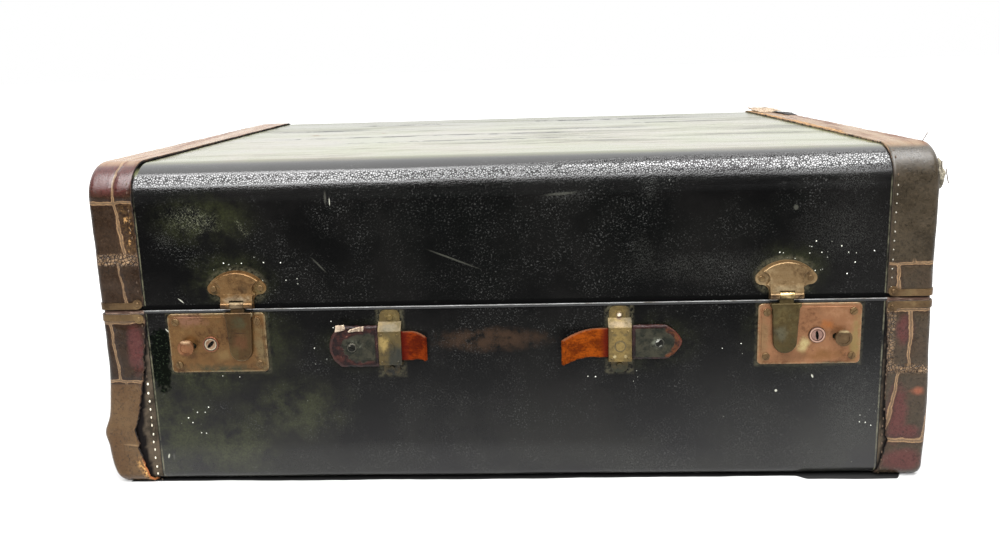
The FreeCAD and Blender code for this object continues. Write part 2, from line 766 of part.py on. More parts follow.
def handle_loop(side):
    """The bent strap of metal that the handle's end runs through, with an ear above and below."""
    centre = loop_x(side)
    metal = front_face - loop_metal
    rise = front_face - bridge_rise
    inside = rise + loop_metal
    outer = [(front_face, bridge_top + bridge_slope), (metal, bridge_top + bridge_slope),
             (rise, bridge_top), (rise, bridge_bottom), (metal, bridge_bottom - bridge_foot),
             (front_face, bridge_bottom - bridge_foot)]
    inner = [(front_face, bridge_top + bridge_slope - loop_metal), (inside, bridge_top - loop_metal / 2),
             (inside, bridge_bottom + loop_metal),
             (front_face, bridge_bottom + loop_metal - bridge_foot / 2)]
    bridge = bar_of_profile(outer, centre - bridge_width / 2, centre + bridge_width / 2)
    bridge = soften_front(bridge, rise, bridge_edge)
    tunnel = bar_of_profile(inner, centre - overrun, centre + overrun)
    upper_ear = rounded_slab(centre - upper_ear_width / 2, centre + upper_ear_width / 2, bridge_top,
                             upper_ear_top, upper_ear_corner, metal, front_face)
    lower_ear = rounded_slab(centre - lower_ear_width / 2, centre + lower_ear_width / 2, lower_ear_bottom,
                             bridge_bottom + loop_metal, lower_ear_corner, metal, front_face)
    middle_z = (bridge_bottom + bridge_top) / 2
    boss = rod(boss_half_width, boss_rise * 2, Vector(0, 0, 0), along_y)
    stretch = FreeCAD.Matrix()
    stretch.scale(1, 1, boss_half_height / boss_half_width)
    boss = boss.transformGeometry(stretch)
    boss.translate(Vector(centre, rise - boss_rise, middle_z))
    half_bead_x = bridge_width / 2 - bead_inset
    half_bead_z = (bridge_top - bridge_bottom) / 2 - bead_inset
    beads = [Part.makeSphere(bead_radius, Vector(centre + x_sign * half_bead_x, rise,
                                                 middle_z + z_sign * half_bead_z))
             for x_sign in (-1, 1) for z_sign in (-1, 1)]
    return join([bridge, upper_ear, lower_ear, boss] + beads).cut(tunnel)


def loop_rivets(side):
    """The upper and lower rivet of a handle loop."""
    heights = (upper_ear_top - loop_rivet_inset, lower_ear_bottom + loop_rivet_inset)
    return [front_fastener(loop_x(side), z_place, front_face - loop_metal, rivet_radius, rivet_length,
                           rivet_head_radius, rivet_head_height) for z_place in heights]


def torn_end(side):
    """The free end of a handle stub, which bows out from the case and narrows towards the tear."""
    sign = side_sign[side]
    root_x = loop_x(side) - sign * (bridge_width / 2 + strap_slide + shoulder_gap)
    length = stub_length[side] - strap_slide
    wires = []
    for number in range(stub_sections + 1):
        share = number / stub_sections
        lift = stub_lift[side] * share ** 2
        slope = math.atan2(2 * stub_lift[side] * share, length)
        half_width = (strap_width + (stub_end_width[side] - strap_width) * share) / 2
        drop = stub_drop[side] * share ** 2
        back_x = root_x - sign * length * share
        front_x = back_x + sign * strap_thickness * math.sin(slope)
        back_y = strap_back - lift
        front_y = back_y - strap_thickness * math.cos(slope)
        z_high = strap_height - drop + half_width
        z_low = strap_height - drop - half_width
        corners = [Vector(back_x, back_y, z_low), Vector(back_x, back_y, z_high),
                   Vector(front_x, front_y, z_high), Vector(front_x, front_y, z_low)]
        wires.append(Part.makePolygon(corners + corners[:1]))
    return Part.makeLoft(wires, True, False)


def tab_slab(side, margin, y_low, y_high):
    """The outline of a handle's end tab, drawn in by a margin and made thick along Y."""
    sign = side_sign[side]
    shoulder = loop_x(side) + sign * (bridge_width / 2 + shoulder_gap + margin)
    tip = loop_x(side) + sign * (bridge_width / 2 + shoulder_gap + tab_length[side] - margin)
    half_width = tab_width[side] / 2 - margin
    bend = tip - sign * tab_point[side]
    low = strap_height - half_width
    high = strap_height + half_width
    steps = [((bend, low),), ((tip, strap_height), (bend, high)), ((shoulder, high),)]
    return outline_slab((shoulder, low), steps, y_low, y_high)


def handle_stub(side):
    """One leather end of the broken handle: tab, straight strap and torn end."""
    sign = side_sign[side]
    tab = tab_slab(side, 0, tab_front, strap_back)
    tab = soften_front(tab, tab_front, tab_edge)
    near_x = loop_x(side) - sign * (bridge_width / 2 + strap_slide + shoulder_gap)
    far_x = loop_x(side) + sign * (bridge_width / 2 + shoulder_gap + strap_thickness)
    strap = box(min(near_x, far_x), max(near_x, far_x), strap_back - strap_thickness, strap_back,
                strap_height - strap_width / 2, strap_height + strap_width / 2)
    return join([tab, strap, torn_end(side)]).cut(end_shank(side))


def end_screw_x(side):
    """The middle of the screw in a handle's end tab."""
    return loop_x(side) + side_sign[side] * (bridge_width / 2 + shoulder_gap + end_screw_inset)


def end_shank(side):
    """The shank of an end screw, which is also the cutter for its hole."""
    length = strap_back - tab_front + end_plate_thickness
    start = Vector(end_screw_x(side), tab_front - end_plate_thickness, strap_height)
    return rod(end_shank_radius, length, start, along_y)


def end_plate(side):
    """The dark metal plate on a handle's end tab."""
    plate = tab_slab(side, end_plate_margin, tab_front - end_plate_thickness, tab_front)
    return plate.cut(end_shank(side))


def end_screw(side):
    """The slotted screw that holds a handle's end together."""
    seat = tab_front - end_plate_thickness
    head = rod(end_screw_radius, end_screw_height,
               Vector(end_screw_x(side), seat - end_screw_height, strap_height), along_y)
    head = soften_front(head, seat - end_screw_height, end_screw_height * head_round_share)
    slot = driver_slot(end_screw_x(side), strap_height, seat - end_screw_height, end_screw_radius,
                       end_slot_turn[side])
    return join([head, end_shank(side)]).cut(slot)


def hinge_barrel(x_low, x_high, radius):
    """A round bar on the hinge axis."""
    return rod(radius, x_high - x_low, Vector(x_low, hinge_y, hinge_z), along_x)


def hinge_spans():
    """The X ranges of the right hinge's outer and middle knuckles."""
    x_low = hinge_spacing - leaf_width / 2
    x_high = hinge_spacing + leaf_width / 2
    outer = leaf_width * outer_knuckle_share
    outer_spans = [(x_low, x_low + outer), (x_high - outer, x_high)]
    return outer_spans, (x_low + outer + hinge_gap, x_high - outer - hinge_gap)


def hinge_leaf(own_spans, other_spans, z_low, z_high):
    """One leaf of the right hinge with its knuckles, clear of the other leaf's."""
    x_low = hinge_spacing - leaf_width / 2
    x_high = hinge_spacing + leaf_width / 2
    leaf = rounded_slab(x_low, x_high, z_low, z_high, leaf_corner, back_face, back_face + leaf_thickness)
    beside_knuckle = box(x_low, x_high, back_face, back_face + leaf_thickness,
                         min(max(z_low, hinge_z), z_high - leaf_corner),
                         max(min(z_high, hinge_z), z_low + leaf_corner))
    clear_radius = barrel_knuckle_radius + hinge_gap
    clearance = [hinge_barrel(span_low - hinge_gap, span_high + hinge_gap, clear_radius)
                 for span_low, span_high in other_spans]
    knuckles = [hinge_barrel(span_low, span_high, barrel_knuckle_radius)
                for span_low, span_high in own_spans]
    plate = cut_all(join([leaf, beside_knuckle]), clearance)
    pin_hole = hinge_barrel(x_low - overrun, x_high + overrun, hinge_pin_radius + hinge_pin_clearance)
    return join([plate] + knuckles).cut(pin_hole)


def stop_lug(span_low, span_high):
    """The tongue of the base leaf on which the opened lid's leaf comes to rest."""
    outside = hinge_stand_off - leaf_thickness - stop_gap
    lug = box(span_low, span_high, hinge_pin_radius + hinge_pin_clearance, stop_length,
              outside - stop_thickness, outside)
    lug.rotate(origin, along_x, quarter_turn - stop_angle)
    lug.translate(Vector(0, hinge_y, hinge_z))
    return lug


def hinge_base_leaf():
    """The lower leaf of the right hinge, with its two stop lugs."""
    outer, middle = hinge_spans()
    leaf = hinge_leaf(outer, [middle], hinge_z - leaf_height, hinge_z)
    return join([leaf] + [stop_lug(span_low, span_high) for span_low, span_high in outer])


def hinge_lid_leaf():
    """The upper leaf of the right hinge."""
    outer, middle = hinge_spans()
    return hinge_leaf([middle], outer, hinge_z, hinge_z + leaf_height)


def hinge_pin():
    """The headed pin of the right hinge."""
    x_low = hinge_spacing - leaf_width / 2
    x_high = hinge_spacing + leaf_width / 2
    low_end = x_low - hinge_gap - hinge_pin_head_length
    high_end = x_high + hinge_gap + hinge_pin_head_length
    heads = [hinge_barrel(low_end, x_low - hinge_gap, hinge_pin_head_radius),
             hinge_barrel(x_high + hinge_gap, high_end, hinge_pin_head_radius)]
    return join([hinge_barrel(low_end, high_end, hinge_pin_radius)] + heads)


def hinge_rivets(z_place):
    """The two rivets of one leaf of the right hinge."""
    rivets = []
    for x_sign in (-1, 1):
        rivet = front_fastener(0, z_place, 0, rivet_radius, rivet_length, rivet_head_radius,
                               rivet_head_height)
        rivet.rotate(origin, along_z, half_turn)
        rivet.translate(Vector(hinge_spacing + x_sign * hinge_rivet_spacing / 2,
                               back_face + leaf_thickness, 0))
        rivets.append(rivet)
    return rivets


def hinge_recess():
    """The cutter that keeps the metal edging clear of the right hinge."""
    half_width = leaf_width / 2 + hinge_gap + hinge_pin_head_length + recess_gap
    return box(hinge_spacing - half_width, hinge_spacing + half_width, back_face, back_face + overrun,
               hinge_z - leaf_height, hinge_z + leaf_height)


def bracket_recess():
    """The cutter that keeps the lid's metal edging clear of the right hasp bracket's neck."""
    half_width = neck_half_width + recess_gap
    return box(hasp_centre - half_width, hasp_centre + half_width, front_face - overrun, front_face,
               lid_bottom - overrun, lid_bottom + overrun)


def edging(pieces, gaps):
    """A metal edging with its gaps, which are drawn for the right side."""
    return cut_all(join(pieces), both_sides(gaps))


def build():
    """Every node of the case, by name, before the shift to its own origin."""
    base_ear_z = base_lip_bottom - clip_seam_gap - clip_height / 2 - ear_shift
    lid_ear_z = lid_bottom + clip_seam_gap + clip_height / 2 + ear_shift
    base_nails = both_sides(front_and_back(clip_nails(base_ear_z)))
    lid_nails = both_sides(front_and_back(clip_nails(lid_ear_z)))
    all_lock_screws = both_sides(lock_screws())
    all_loop_rivets = loop_rivets("left") + loop_rivets("right")
    all_bracket_rivets = both_sides(bracket_rivets())
    base_hinge_rivets = both_sides(hinge_rivets(hinge_z - hinge_rivet_drop))
    lid_hinge_rivets = both_sides(hinge_rivets(hinge_z + hinge_rivet_drop))
    lock_room = both_sides([pan_block(0), staple_slot()])
    base_holes = base_nails + all_lock_screws + all_loop_rivets + base_hinge_rivets + lock_room
    lid_holes = lid_nails + all_bracket_rivets + lid_hinge_rivets

    nodes = {}
    for name, z_low, z_high, holes in (("base", 0, base_wall_top, base_holes),
                                       ("lid", lid_wall_bottom, case_height, lid_holes)):
        nodes[name + "_carcase"] = cut_all(layer(carcase_outer, lining_outer, z_low, z_high), holes)
        nodes[name + "_covering"] = cut_all(layer(covering_outer, carcase_outer, z_low, z_high), holes)
        nodes[name + "_lining"] = layer(lining_outer, cavity_outer, z_low, z_high)
    base_flange = upright_ring(lip_outer, tongue_inner, base_wall_top, seam_height)
    base_lip = upright_ring(lip_outer, covering_outer, base_lip_bottom, seam_height)
    tongue = upright_ring(tongue_outer, tongue_inner, seam_height - skirt_height,
                          seam_height + tongue_height)
    lid_flange = upright_ring(lip_outer, cavity_outer, lid_bottom, lid_wall_bottom)
    lid_lip = upright_ring(lip_outer, covering_outer, lid_bottom, lid_lip_top)
    nodes["base_rim"] = edging([base_flange, base_lip, tongue], [staple_slot(), hinge_recess()])
    nodes["lid_rim"] = edging([lid_flange, lid_lip], [bracket_recess(), hinge_recess()])
    for side in sides:
        base_leather = cut_all(binding(side, 0, base_lip_bottom), base_nails)
        nodes["base_binding_" + side] = base_leather.cut(tear()) if side == "left" else base_leather
        nodes["lid_binding_" + side] = cut_all(binding(side, lid_lip_top, case_height), lid_nails)
        base_clip = clip(base_lip_bottom - clip_seam_gap - clip_height, base_ear_z)
        lid_clip = clip(lid_bottom + clip_seam_gap, lid_ear_z)
        for name, shape, nails in (("base", base_clip, base_nails), ("lid", lid_clip, lid_nails)):
            pair = [cut_all(on_side(piece, side), nails) for piece in front_and_back([shape])]
            nodes[name + "_clips_" + side] = group(pair)
        nodes["lock_plate_" + side] = on_side(cut_all(lock_plate(), all_lock_screws), side)
        nodes["lock_case_" + side] = on_side(lock_case(), side)
        nodes["catch_bolt_" + side] = on_side(catch_bolt(), side)
        nodes["catch_spring_" + side] = on_side(catch_spring(), side)
        nodes["catch_knob_" + side] = on_side(catch_knob(), side)
        nodes["key_barrel_" + side] = on_side(key_barrel(), side)
        nodes["key_plug_" + side] = key_plug(side)
        nodes["hasp_" + side] = on_side(hasp(), side)
        nodes["staple_" + side] = on_side(staple(), side)
        nodes["hasp_pin_" + side] = on_side(hasp_pin(), side)
        nodes["hasp_bracket_" + side] = on_side(cut_all(hasp_bracket(), all_bracket_rivets), side)
        nodes["handle_loop_" + side] = cut_all(handle_loop(side), all_loop_rivets)
        nodes["handle_stub_" + side] = handle_stub(side)
        nodes["handle_plate_" + side] = end_plate(side)
        nodes["handle_screw_" + side] = end_screw(side)
        nodes["hinge_base_leaf_" + side] = on_side(cut_all(hinge_base_leaf(), base_hinge_rivets), side)
        nodes["hinge_lid_leaf_" + side] = on_side(cut_all(hinge_lid_leaf(), lid_hinge_rivets), side)
        nodes["hinge_pin_" + side] = on_side(hinge_pin(), side)
    nodes["base_clip_nails"] = group(base_nails)
    nodes["lid_clip_nails"] = group(lid_nails)
    nodes["lock_screws"] = group(all_lock_screws)
    nodes["loop_rivets"] = group(all_loop_rivets)
    nodes["bracket_rivets"] = group(all_bracket_rivets)
    nodes["base_hinge_rivets"] = group(base_hinge_rivets)
    nodes["lid_hinge_rivets"] = group(lid_hinge_rivets)
    return nodes


def main():
    """Builds the nodes, moves them to their own origin and writes one STEP file each."""
    nodes = build()
    y_low = min(shape.BoundBox.YMin for shape in nodes.values())
    y_high = max(shape.BoundBox.YMax for shape in nodes.values())
    shift = Vector(0, -(y_low + y_high) / 2, 0)
    os.makedirs("parts", exist_ok=True)
    for name, shape in sorted(nodes.items()):
        shape.translate(shift)
        shape.exportStep("parts/" + name + ".step")
        print(name, len(shape.Solids), "solids", shape.isValid(), round(shape.Volume), "mm3")
    print("shift in y", round(shift.y, 4), "reach", round(y_low, 3), round(y_high, 3))
    print("hinge axis y z", round(hinge_y + shift.y, 4), round(hinge_z, 4))
    print("hasp axis y z", round(hasp_pin_y + shift.y, 4), round(hasp_pin_z, 4))
    print("key axis x z", round(key_x, 4), round(key_z, 4), "front", round(front_face + shift.y, 4))


main()
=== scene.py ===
# %% [markdown]
# # An old travel case, lying flat
#
# The case is black leathercloth over a wooden shell. Its two ends are bound in crocodile-grained leather,
# and it has two corroded brass locks and the torn ends of a handle. The construction comes ready made as
# the frame. This script gives it skins, stitching, wear and finishes.

# %% Load the frame
import math
import random
import bmesh
import bpy
from mathutils import Matrix, Vector, noise


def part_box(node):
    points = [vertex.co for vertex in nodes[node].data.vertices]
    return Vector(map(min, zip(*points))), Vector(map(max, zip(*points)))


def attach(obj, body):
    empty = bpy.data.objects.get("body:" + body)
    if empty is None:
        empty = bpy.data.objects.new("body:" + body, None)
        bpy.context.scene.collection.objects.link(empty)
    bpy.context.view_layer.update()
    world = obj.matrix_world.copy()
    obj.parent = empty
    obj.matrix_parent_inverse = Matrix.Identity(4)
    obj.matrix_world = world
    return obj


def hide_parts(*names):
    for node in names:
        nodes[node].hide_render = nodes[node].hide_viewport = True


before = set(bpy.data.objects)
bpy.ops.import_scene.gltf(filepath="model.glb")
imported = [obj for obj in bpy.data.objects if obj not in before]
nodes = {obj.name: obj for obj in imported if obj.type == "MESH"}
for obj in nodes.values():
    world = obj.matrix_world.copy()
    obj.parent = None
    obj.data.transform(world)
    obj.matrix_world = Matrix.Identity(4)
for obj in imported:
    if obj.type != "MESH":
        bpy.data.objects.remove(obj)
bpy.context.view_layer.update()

# %% [markdown]
# ## Sizes
#
# Blender works in metres, so lengths here are written in millimetres times `mm`.

# %% Sizes read from the frame, and a few of the skins' own
mm = 0.001
shell_low, shell_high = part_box("lid_binding_right")
half_width = shell_high.x
case_height = shell_high.z
base_low, base_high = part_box("base_binding_right")
half_depth = (base_high.y - base_low.y) / 2
middle_y = (base_high.y + base_low.y) / 2
roll_radius = 26 * mm
foot_radius = 10 * mm
end_radius = 5 * mm
window_corner = 9 * mm
cloth_inset = 1.6 * mm
cloth_thickness = 0.8 * mm
leather_thickness = 1.5 * mm
glue_thickness = 0.35 * mm
join_distance = 0.02 * mm
band_width = 33 * mm
band_edge = half_width - band_width
front_y = middle_y - half_depth + cloth_inset
base_band_top = base_high.z
lid_band_bottom = shell_low.z
base_cloth_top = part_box("base_covering")[1].z
lid_cloth_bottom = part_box("lid_covering")[0].z
seam_z = base_cloth_top + 1 * mm
sides = {"left": -1, "right": 1}
print("half width, half depth, middle y, height:",
      [round(value, 4) for value in (half_width, half_depth, middle_y, case_height)])

# %% [markdown]
# ## A small kit for wiring materials
#
# Every finish below is procedural: noise, cells and ramps wired together in a node tree. `Finish` keeps the
# wiring short, so that each material reads as a recipe. Every step gives a `Signal`, which adds, multiplies
# and takes powers as a number does, and each sign becomes one more node. A finish keeps the colour it has so
# far, and `lay` puts the next one over it.

# %% The wiring kit
def arithmetic(operation, swapped=False):
    """What a sign does between two signals, or between a signal and a number."""
    def calculate(self, other=0.0):
        first, second = (other, self) if swapped else (self, other)
        return self.wiring.math(operation, first, second)
    return calculate


class Signal:
    """What comes out of a node. It takes part in sums as a number does."""

    def __init__(self, wiring, socket):
        self.wiring = wiring
        self.socket = socket

    __add__ = arithmetic("ADD")
    __sub__ = arithmetic("SUBTRACT")
    __rsub__ = arithmetic("SUBTRACT", swapped=True)
    __mul__ = arithmetic("MULTIPLY")
    __pow__ = arithmetic("POWER")
    __abs__ = arithmetic("ABSOLUTE")


class Wiring:
    """A node tree, with short ways to add and join its nodes."""

    def __init__(self, tree, coordinates="Object"):
        self.tree = tree
        self.place = self.out(self.add("ShaderNodeTexCoord"), coordinates)

    def add(self, kind, **options):
        new = self.tree.nodes.new(kind)
        for key, value in options.items():
            setattr(new, key, value)
        return new

    def out(self, node, output=0):
        return Signal(self, node.outputs[output])

    def put(self, socket, value):
        """Links a signal to a socket, or writes a number or a colour into it."""
        if isinstance(value, Signal):
            self.tree.links.new(value.socket, socket)
        else:
            socket.default_value = (*value, 1.0) if isinstance(value, tuple) else value

    def fill(self, sockets, values):
        for socket, value in zip(sockets, values):
            self.put(socket, value)

    def math(self, operation, first, second=0.0, third=0.0):
        new = self.add("ShaderNodeMath", operation=operation)
        self.fill(new.inputs, (first, second, third))
        return self.out(new)

    def most(self, first, *others):
        for other in others:
            first = self.math("MAXIMUM", first, other)
        return first

    def product(self, first, *others):
        for other in others:
            first = first * other
        return first

    def noise(self, scale, detail=4.0, rough=0.55, vector=None, warp=0.0):
        new = self.add("ShaderNodeTexNoise")
        self.put(new.inputs["Vector"], vector or self.place)
        for name, value in (("Scale", scale), ("Detail", detail), ("Roughness", rough), ("Distortion", warp)):
            new.inputs[name].default_value = value
        return self.out(new, "Fac")

    def patchy(self, scale, detail, rough, low, high, *ends):
        """Noise through a soft step."""
        return self.step(self.noise(scale, detail, rough), low, high, *ends)

    def cells(self, scale, feature="F1"):
        new = self.add("ShaderNodeTexVoronoi", feature=feature)
        self.fill((new.inputs["Vector"], new.inputs["Scale"]), (self.place, scale))
        return self.out(new, "Distance")

    def flat_cells(self, scale):
        """Cells drawn on the front, as the distance to each cell's point and the cell's own dice."""
        x, z = self.front()
        new = self.add("ShaderNodeTexVoronoi", voronoi_dimensions="2D")
        self.fill((new.inputs["Vector"], new.inputs["Scale"]), (self.join(x, z, 0.0), scale))
        return self.out(new, "Distance"), self.out(new, "Color")

    def step(self, value, low, high, to_low=0.0, to_high=1.0):
        """A soft step: to_low at low, to_high at high."""
        new = self.add("ShaderNodeMapRange", interpolation_type="SMOOTHSTEP")
        self.fill(new.inputs, (value, low, high, to_low, to_high))
        return self.out(new)

    def mix(self, share, first, second):
        """Two colours mixed."""
        new = self.add("ShaderNodeMix", data_type="RGBA")
        self.fill((new.inputs[0], new.inputs[6], new.inputs[7]), (share, first, second))
        return self.out(new, 2)

    def tones(self, value, low, high, first, second):
        """The first colour where the value is at low, the second where it is at high."""
        return self.mix(self.step(value, low, high), first, second)

    def blend(self, share, first, second):
        """Two numbers mixed."""
        new = self.add("ShaderNodeMix")
        self.fill((new.inputs[0], new.inputs[2], new.inputs[3]), (share, first, second))
        return self.out(new)

    def split(self, vector=None):
        new = self.add("ShaderNodeSeparateXYZ")
        self.put(new.inputs[0], vector or self.place)
        return [self.out(new, part) for part in range(3)]

    def front(self):
        """Across and up, as seen from the front."""
        return self.split()[::2]

    def join(self, *parts):
        new = self.add("ShaderNodeCombineXYZ")
        self.fill(new.inputs, parts)
        return self.out(new)

    def grain(self, factors, detail, rough, warp=0.0):
        """Noise with its own scale along each axis."""
        new = self.add("ShaderNodeVectorMath", operation="MULTIPLY")
        self.put(new.inputs[0], self.place)
        new.inputs[1].default_value = factors
        return self.noise(1.0, detail, rough, self.out(new), warp)

    def spot(self, x, z, reach_x, reach_z, turn=0.0, ragged=0.0, soft=0.5, on_top=False):
        """A soft patch on the front, 1 in its middle and 0 past its reach, with a ragged edge."""
        place_x, place_y, place_z = self.split()
        across = place_x - x * mm
        up = (place_y if on_top else place_z) - z * mm
        cosine, sine = math.cos(math.radians(turn)), math.sin(math.radians(turn))
        along = (across * cosine + up * sine) * (1 / (reach_x * mm))
        aside = (up * cosine - across * sine) * (1 / (reach_z * mm))
        gap = self.math("SQRT", along ** 2.0 + aside ** 2.0)
        if ragged:
            gap = gap + (self.noise(160.0, 5.0, 0.65) - 0.5) * ragged
        return self.step(gap, 1.0 - soft, 1.0, 1.0, 0.0)

    def spots(self, places, **options):
        return self.most(*[self.spot(*place, **options) for place in places])

    def block(self, x, z, half_x, half_z, reach):
        """1 within a rectangle on the front, falling to 0 at its reach outside."""
        place_x, place_z = self.front()
        across = abs(place_x - x * mm) - half_x * mm
        up = abs(place_z - z * mm) - half_z * mm
        return self.step(self.most(across, up), 0.0, reach * mm, 1.0, 0.0)

    def radius(self, x, z):
        """Distance from a point on the front."""
        place_x, place_z = self.front()
        return self.math("SQRT", (place_x - x * mm) ** 2.0 + (place_z - z * mm) ** 2.0)


class Finish(Wiring):
    """A material with its shader."""

    def __init__(self, name):
        self.material = bpy.data.materials.new(name)
        self.material.use_nodes = True
        super().__init__(self.material.node_tree)
        self.shader = self.tree.nodes["Principled BSDF"]
        self.colour = (0.0, 0.0, 0.0)

    def lay(self, share, colour):
        """Lays one more colour over the colour so far."""
        self.colour = self.mix(share, self.colour, colour)

    def attribute(self, name):
        return self.out(self.add("ShaderNodeAttribute", attribute_name=name), "Fac")

    def uv(self, name):
        return self.split(self.out(self.add("ShaderNodeUVMap", uv_map=name)))[:2]

    def bump(self, height, distance, strength=1.0, after=None):
        new = self.add("ShaderNodeBump")
        names = ("Strength", "Distance", "Height")
        self.fill([new.inputs[name] for name in names], (strength, distance, height))
        if after:
            self.put(new.inputs["Normal"], after)
        return self.out(new)

    def finish(self, roughness, normal, metallic=0.0, **sockets):
        values = {"Base Color": self.colour, "Roughness": roughness, "Normal": normal, "Metallic": metallic}
        for name, value in (values | sockets).items():
            self.put(self.shader.inputs[name.replace("_", " ")], value)
        return self.material

    def surface(self, shader):
        self.put(self.tree.nodes["Material Output"].inputs["Surface"], shader)

    def join_shaders(self, kind, *values):
        new = self.add(kind)
        self.fill(new.inputs, values)
        return self.out(new)

    def matt(self, colour):
        new = self.add("ShaderNodeBsdfDiffuse")
        self.put(new.inputs["Color"], colour)
        return self.out(new)

    def film(self, share, colour):
        """Lays a matt film over the finished shader: dust, and on the cloth's top also painted shade."""
        shader = self.out(self.shader)
        self.surface(self.join_shaders("ShaderNodeMixShader", share, shader, self.matt(colour)))


def limited(value):
    """A plain number held between 0 and 1."""
    return max(0.0, min(1.0, value))


print("wiring kit ready")

# %% [markdown]
# ## Black leathercloth
#
# Leathercloth is cotton with a grained, lacquered coat. Close up it is a field of tiny pebbles that break a
# highlight into sparks, and seen along the surface it turns into a pale mirror. So the base colour is nearly
# black, the coat is fairly smooth, and cells in the bump make the pebbles. Dust, mould, verdigris creeping
# from the brass and specks of white paint lie on top as masks.

# %% The leathercloth finish
front_fade = (-0.13, -0.15)


def cloth_marks(paint):
    """Verdigris, mould, dust, specks and scars over the cloth's colour."""
    x, y, z = paint.split()
    on_front = paint.step(y, *front_fade)
    fine = paint.noise(620.0, 5.0, 0.75)
    green_places = [(-206, 162, 44, 28), (-232, 90, 50, 30), (-200, 112, 56, 40), (214, 114, 54, 38),
                    (203, 162, 34, 26), (-105, 110, 48, 26), (98, 110, 50, 28), (-256, 46, 40, 60),
                    (-222, 208, 50, 26), (-165, 60, 60, 34), (-215, 30, 50, 34)]
    near_brass = paint.spots(green_places, soft=0.8)
    green = paint.product(near_brass, paint.step(y, *front_fade, 0.25, 1.0),
                          paint.step(fine, 0.34, 0.68, 0.40, 1.0), paint.patchy(60.0, 6.0, 0.7, 0.32, 0.64))
    # Painted light: the verdigris is lighter low down, as the floor's light on it.
    painted_floor_light = paint.step(z, 0.16, -0.02) ** 2.0
    paint.lay(green, paint.mix(painted_floor_light, (0.017, 0.019, 0.008), (0.032, 0.035, 0.018)))
    rims = paint.most(*[paint.block(side * 218.2, 114, 36.5, 22.5, 3.6) for side in (-1, 1)],
                      *[paint.spot(side * 200.2, 157, 25, 17.5, soft=0.22) for side in (-1, 1)],
                      paint.block(-88, 112, 8.5, 25, 3.4), paint.block(81, 112, 8.5, 25, 3.4))
    crust = rims * on_front * paint.patchy(330.0, 6.0, 0.75, 0.38, 0.60)
    paint.lay(crust * 0.75, (0.052, 0.047, 0.029))

    haze_places = [(-228, 208, 26, 14, -10), (-251, 194, 12, 10), (98, 176, 12, 22, 20),
                   (44, 219, 30, 6, 4), (103, 224, 9, 12), (236, 190, 40, 30), (250, 60, 26, 40),
                   (150, 165, 90, 16), (246, 228, 24, 12)]
    haze = paint.spots(haze_places, soft=0.85, ragged=0.8)
    powder = paint.noise(1150.0, 5.0, 0.85)
    dust = haze * paint.step(powder, 0.50, 0.66)
    mould = paint.product(
        paint.most(
            paint.spot(-229, 208, 26, 13, -8, soft=0.8, ragged=1.2),
            paint.spot(-193, 201, 11, 3.5, -60, soft=0.8, ragged=1.0)),
        paint.step((fine + powder) * 0.5, 0.51, 0.60))
    paint.lay(dust * 0.26, (0.115, 0.118, 0.105))
    paint.lay(mould * 0.75, (0.125, 0.128, 0.085))
    rub = paint.product(on_front, paint.spot(-14, 113, 54, 12, soft=0.7, ragged=0.60),
                        paint.patchy(90.0, 7.0, 0.7, 0.36, 0.60))
    paint.lay(rub * 0.85, (0.026, 0.015, 0.009))
    bald = paint.spots([(-264.5, 98, 8, 27), (-263, 113, 9.5, 14)], soft=0.25, ragged=1.8) * on_front
    canvas = paint.tones(fine, 0.56, 0.66, (0.0012, 0.0018, 0.0012), (0.022, 0.030, 0.018))
    paint.lay(bald * 0.9, canvas)

    gaps, rare = paint.flat_cells(240.0)
    other_dice = paint.math("FRACT", rare * 37.0)
    dots = paint.step(gaps + other_dice * 0.06, 0.14, 0.08)
    thick_places = [(-184, 166, 40, 22), (-214, 86, 22, 8), (-128, 127, 12, 7), (226, 170, 50, 18),
                    (262, 52, 14, 22), (-130, 100, 16, 6), (-240, 52, 24, 16), (160, 104, 20, 10),
                    (80, 84, 30, 8)]
    thick = paint.spots(thick_places, ragged=0.5)
    share = 0.955 - thick * 0.32
    specks = dots * paint.step(rare - share, 0.0, 0.02)
    paint.lay(specks, paint.mix(other_dice, (0.80, 0.81, 0.72), (0.14, 0.14, 0.12)))
    dim = paint.most(
        paint.spot(205.6, 207.4, 2.2, 2.4), paint.spot(-130, 222, 1.2, 7, soft=0.8, ragged=0.6),
        paint.spot(40, 221, 16, 1.4, 4, soft=0.8, ragged=0.9), paint.spot(-262, 22, 1.2, 4, soft=0.8),
        paint.spot(-40, 175, 26, 0.9, -22, soft=0.8, ragged=0.8),
        paint.spot(-138, 172, 10, 1.0, -48, soft=0.8, ragged=0.6))
    paint.lay(dim * 0.5, (0.055, 0.055, 0.045))
    scars = paint.most(
        paint.spot(-243.6, 146.9, 3.4, 0.5, turn=-42), paint.spot(-256.5, 123.8, 2.4, 0.6, turn=-50),
        paint.spot(-266, 22.5, 2.4, 0.8, turn=75), paint.spot(222, 81, 0.8, 1.9, turn=22),
        paint.spot(196, 70, 1.2, 1.2, ragged=0.6), paint.spot(-127, 219, 0.4, 3.5))
    paint.lay(scars * 0.8 * on_front, (0.36, 0.36, 0.30))
    edge = abs(abs(x) - (band_edge - 0.8 * mm))
    glue_line = paint.product(paint.step(edge, 0.8 * mm, 0.2 * mm),
                              paint.patchy(70.0, 6.0, 0.7, 0.34, 0.62), paint.step(z, 232 * mm, 220 * mm))
    paint.lay(glue_line * 0.7, (0.12, 0.115, 0.075))
    return dust, bald


# Creases across the top, where the film is painted dark as their shade: x, half length, y and width, in
# millimetres.
crease_shade_lines = [(-70, 190, -20, 10), (-30, 150, -75, 6), (110, 120, 131, 14), (60, 90, 20, 7),
                 (-200, 60, 62, 10), (170, 60, 70, 8), (-120, 60, 120, 12)]


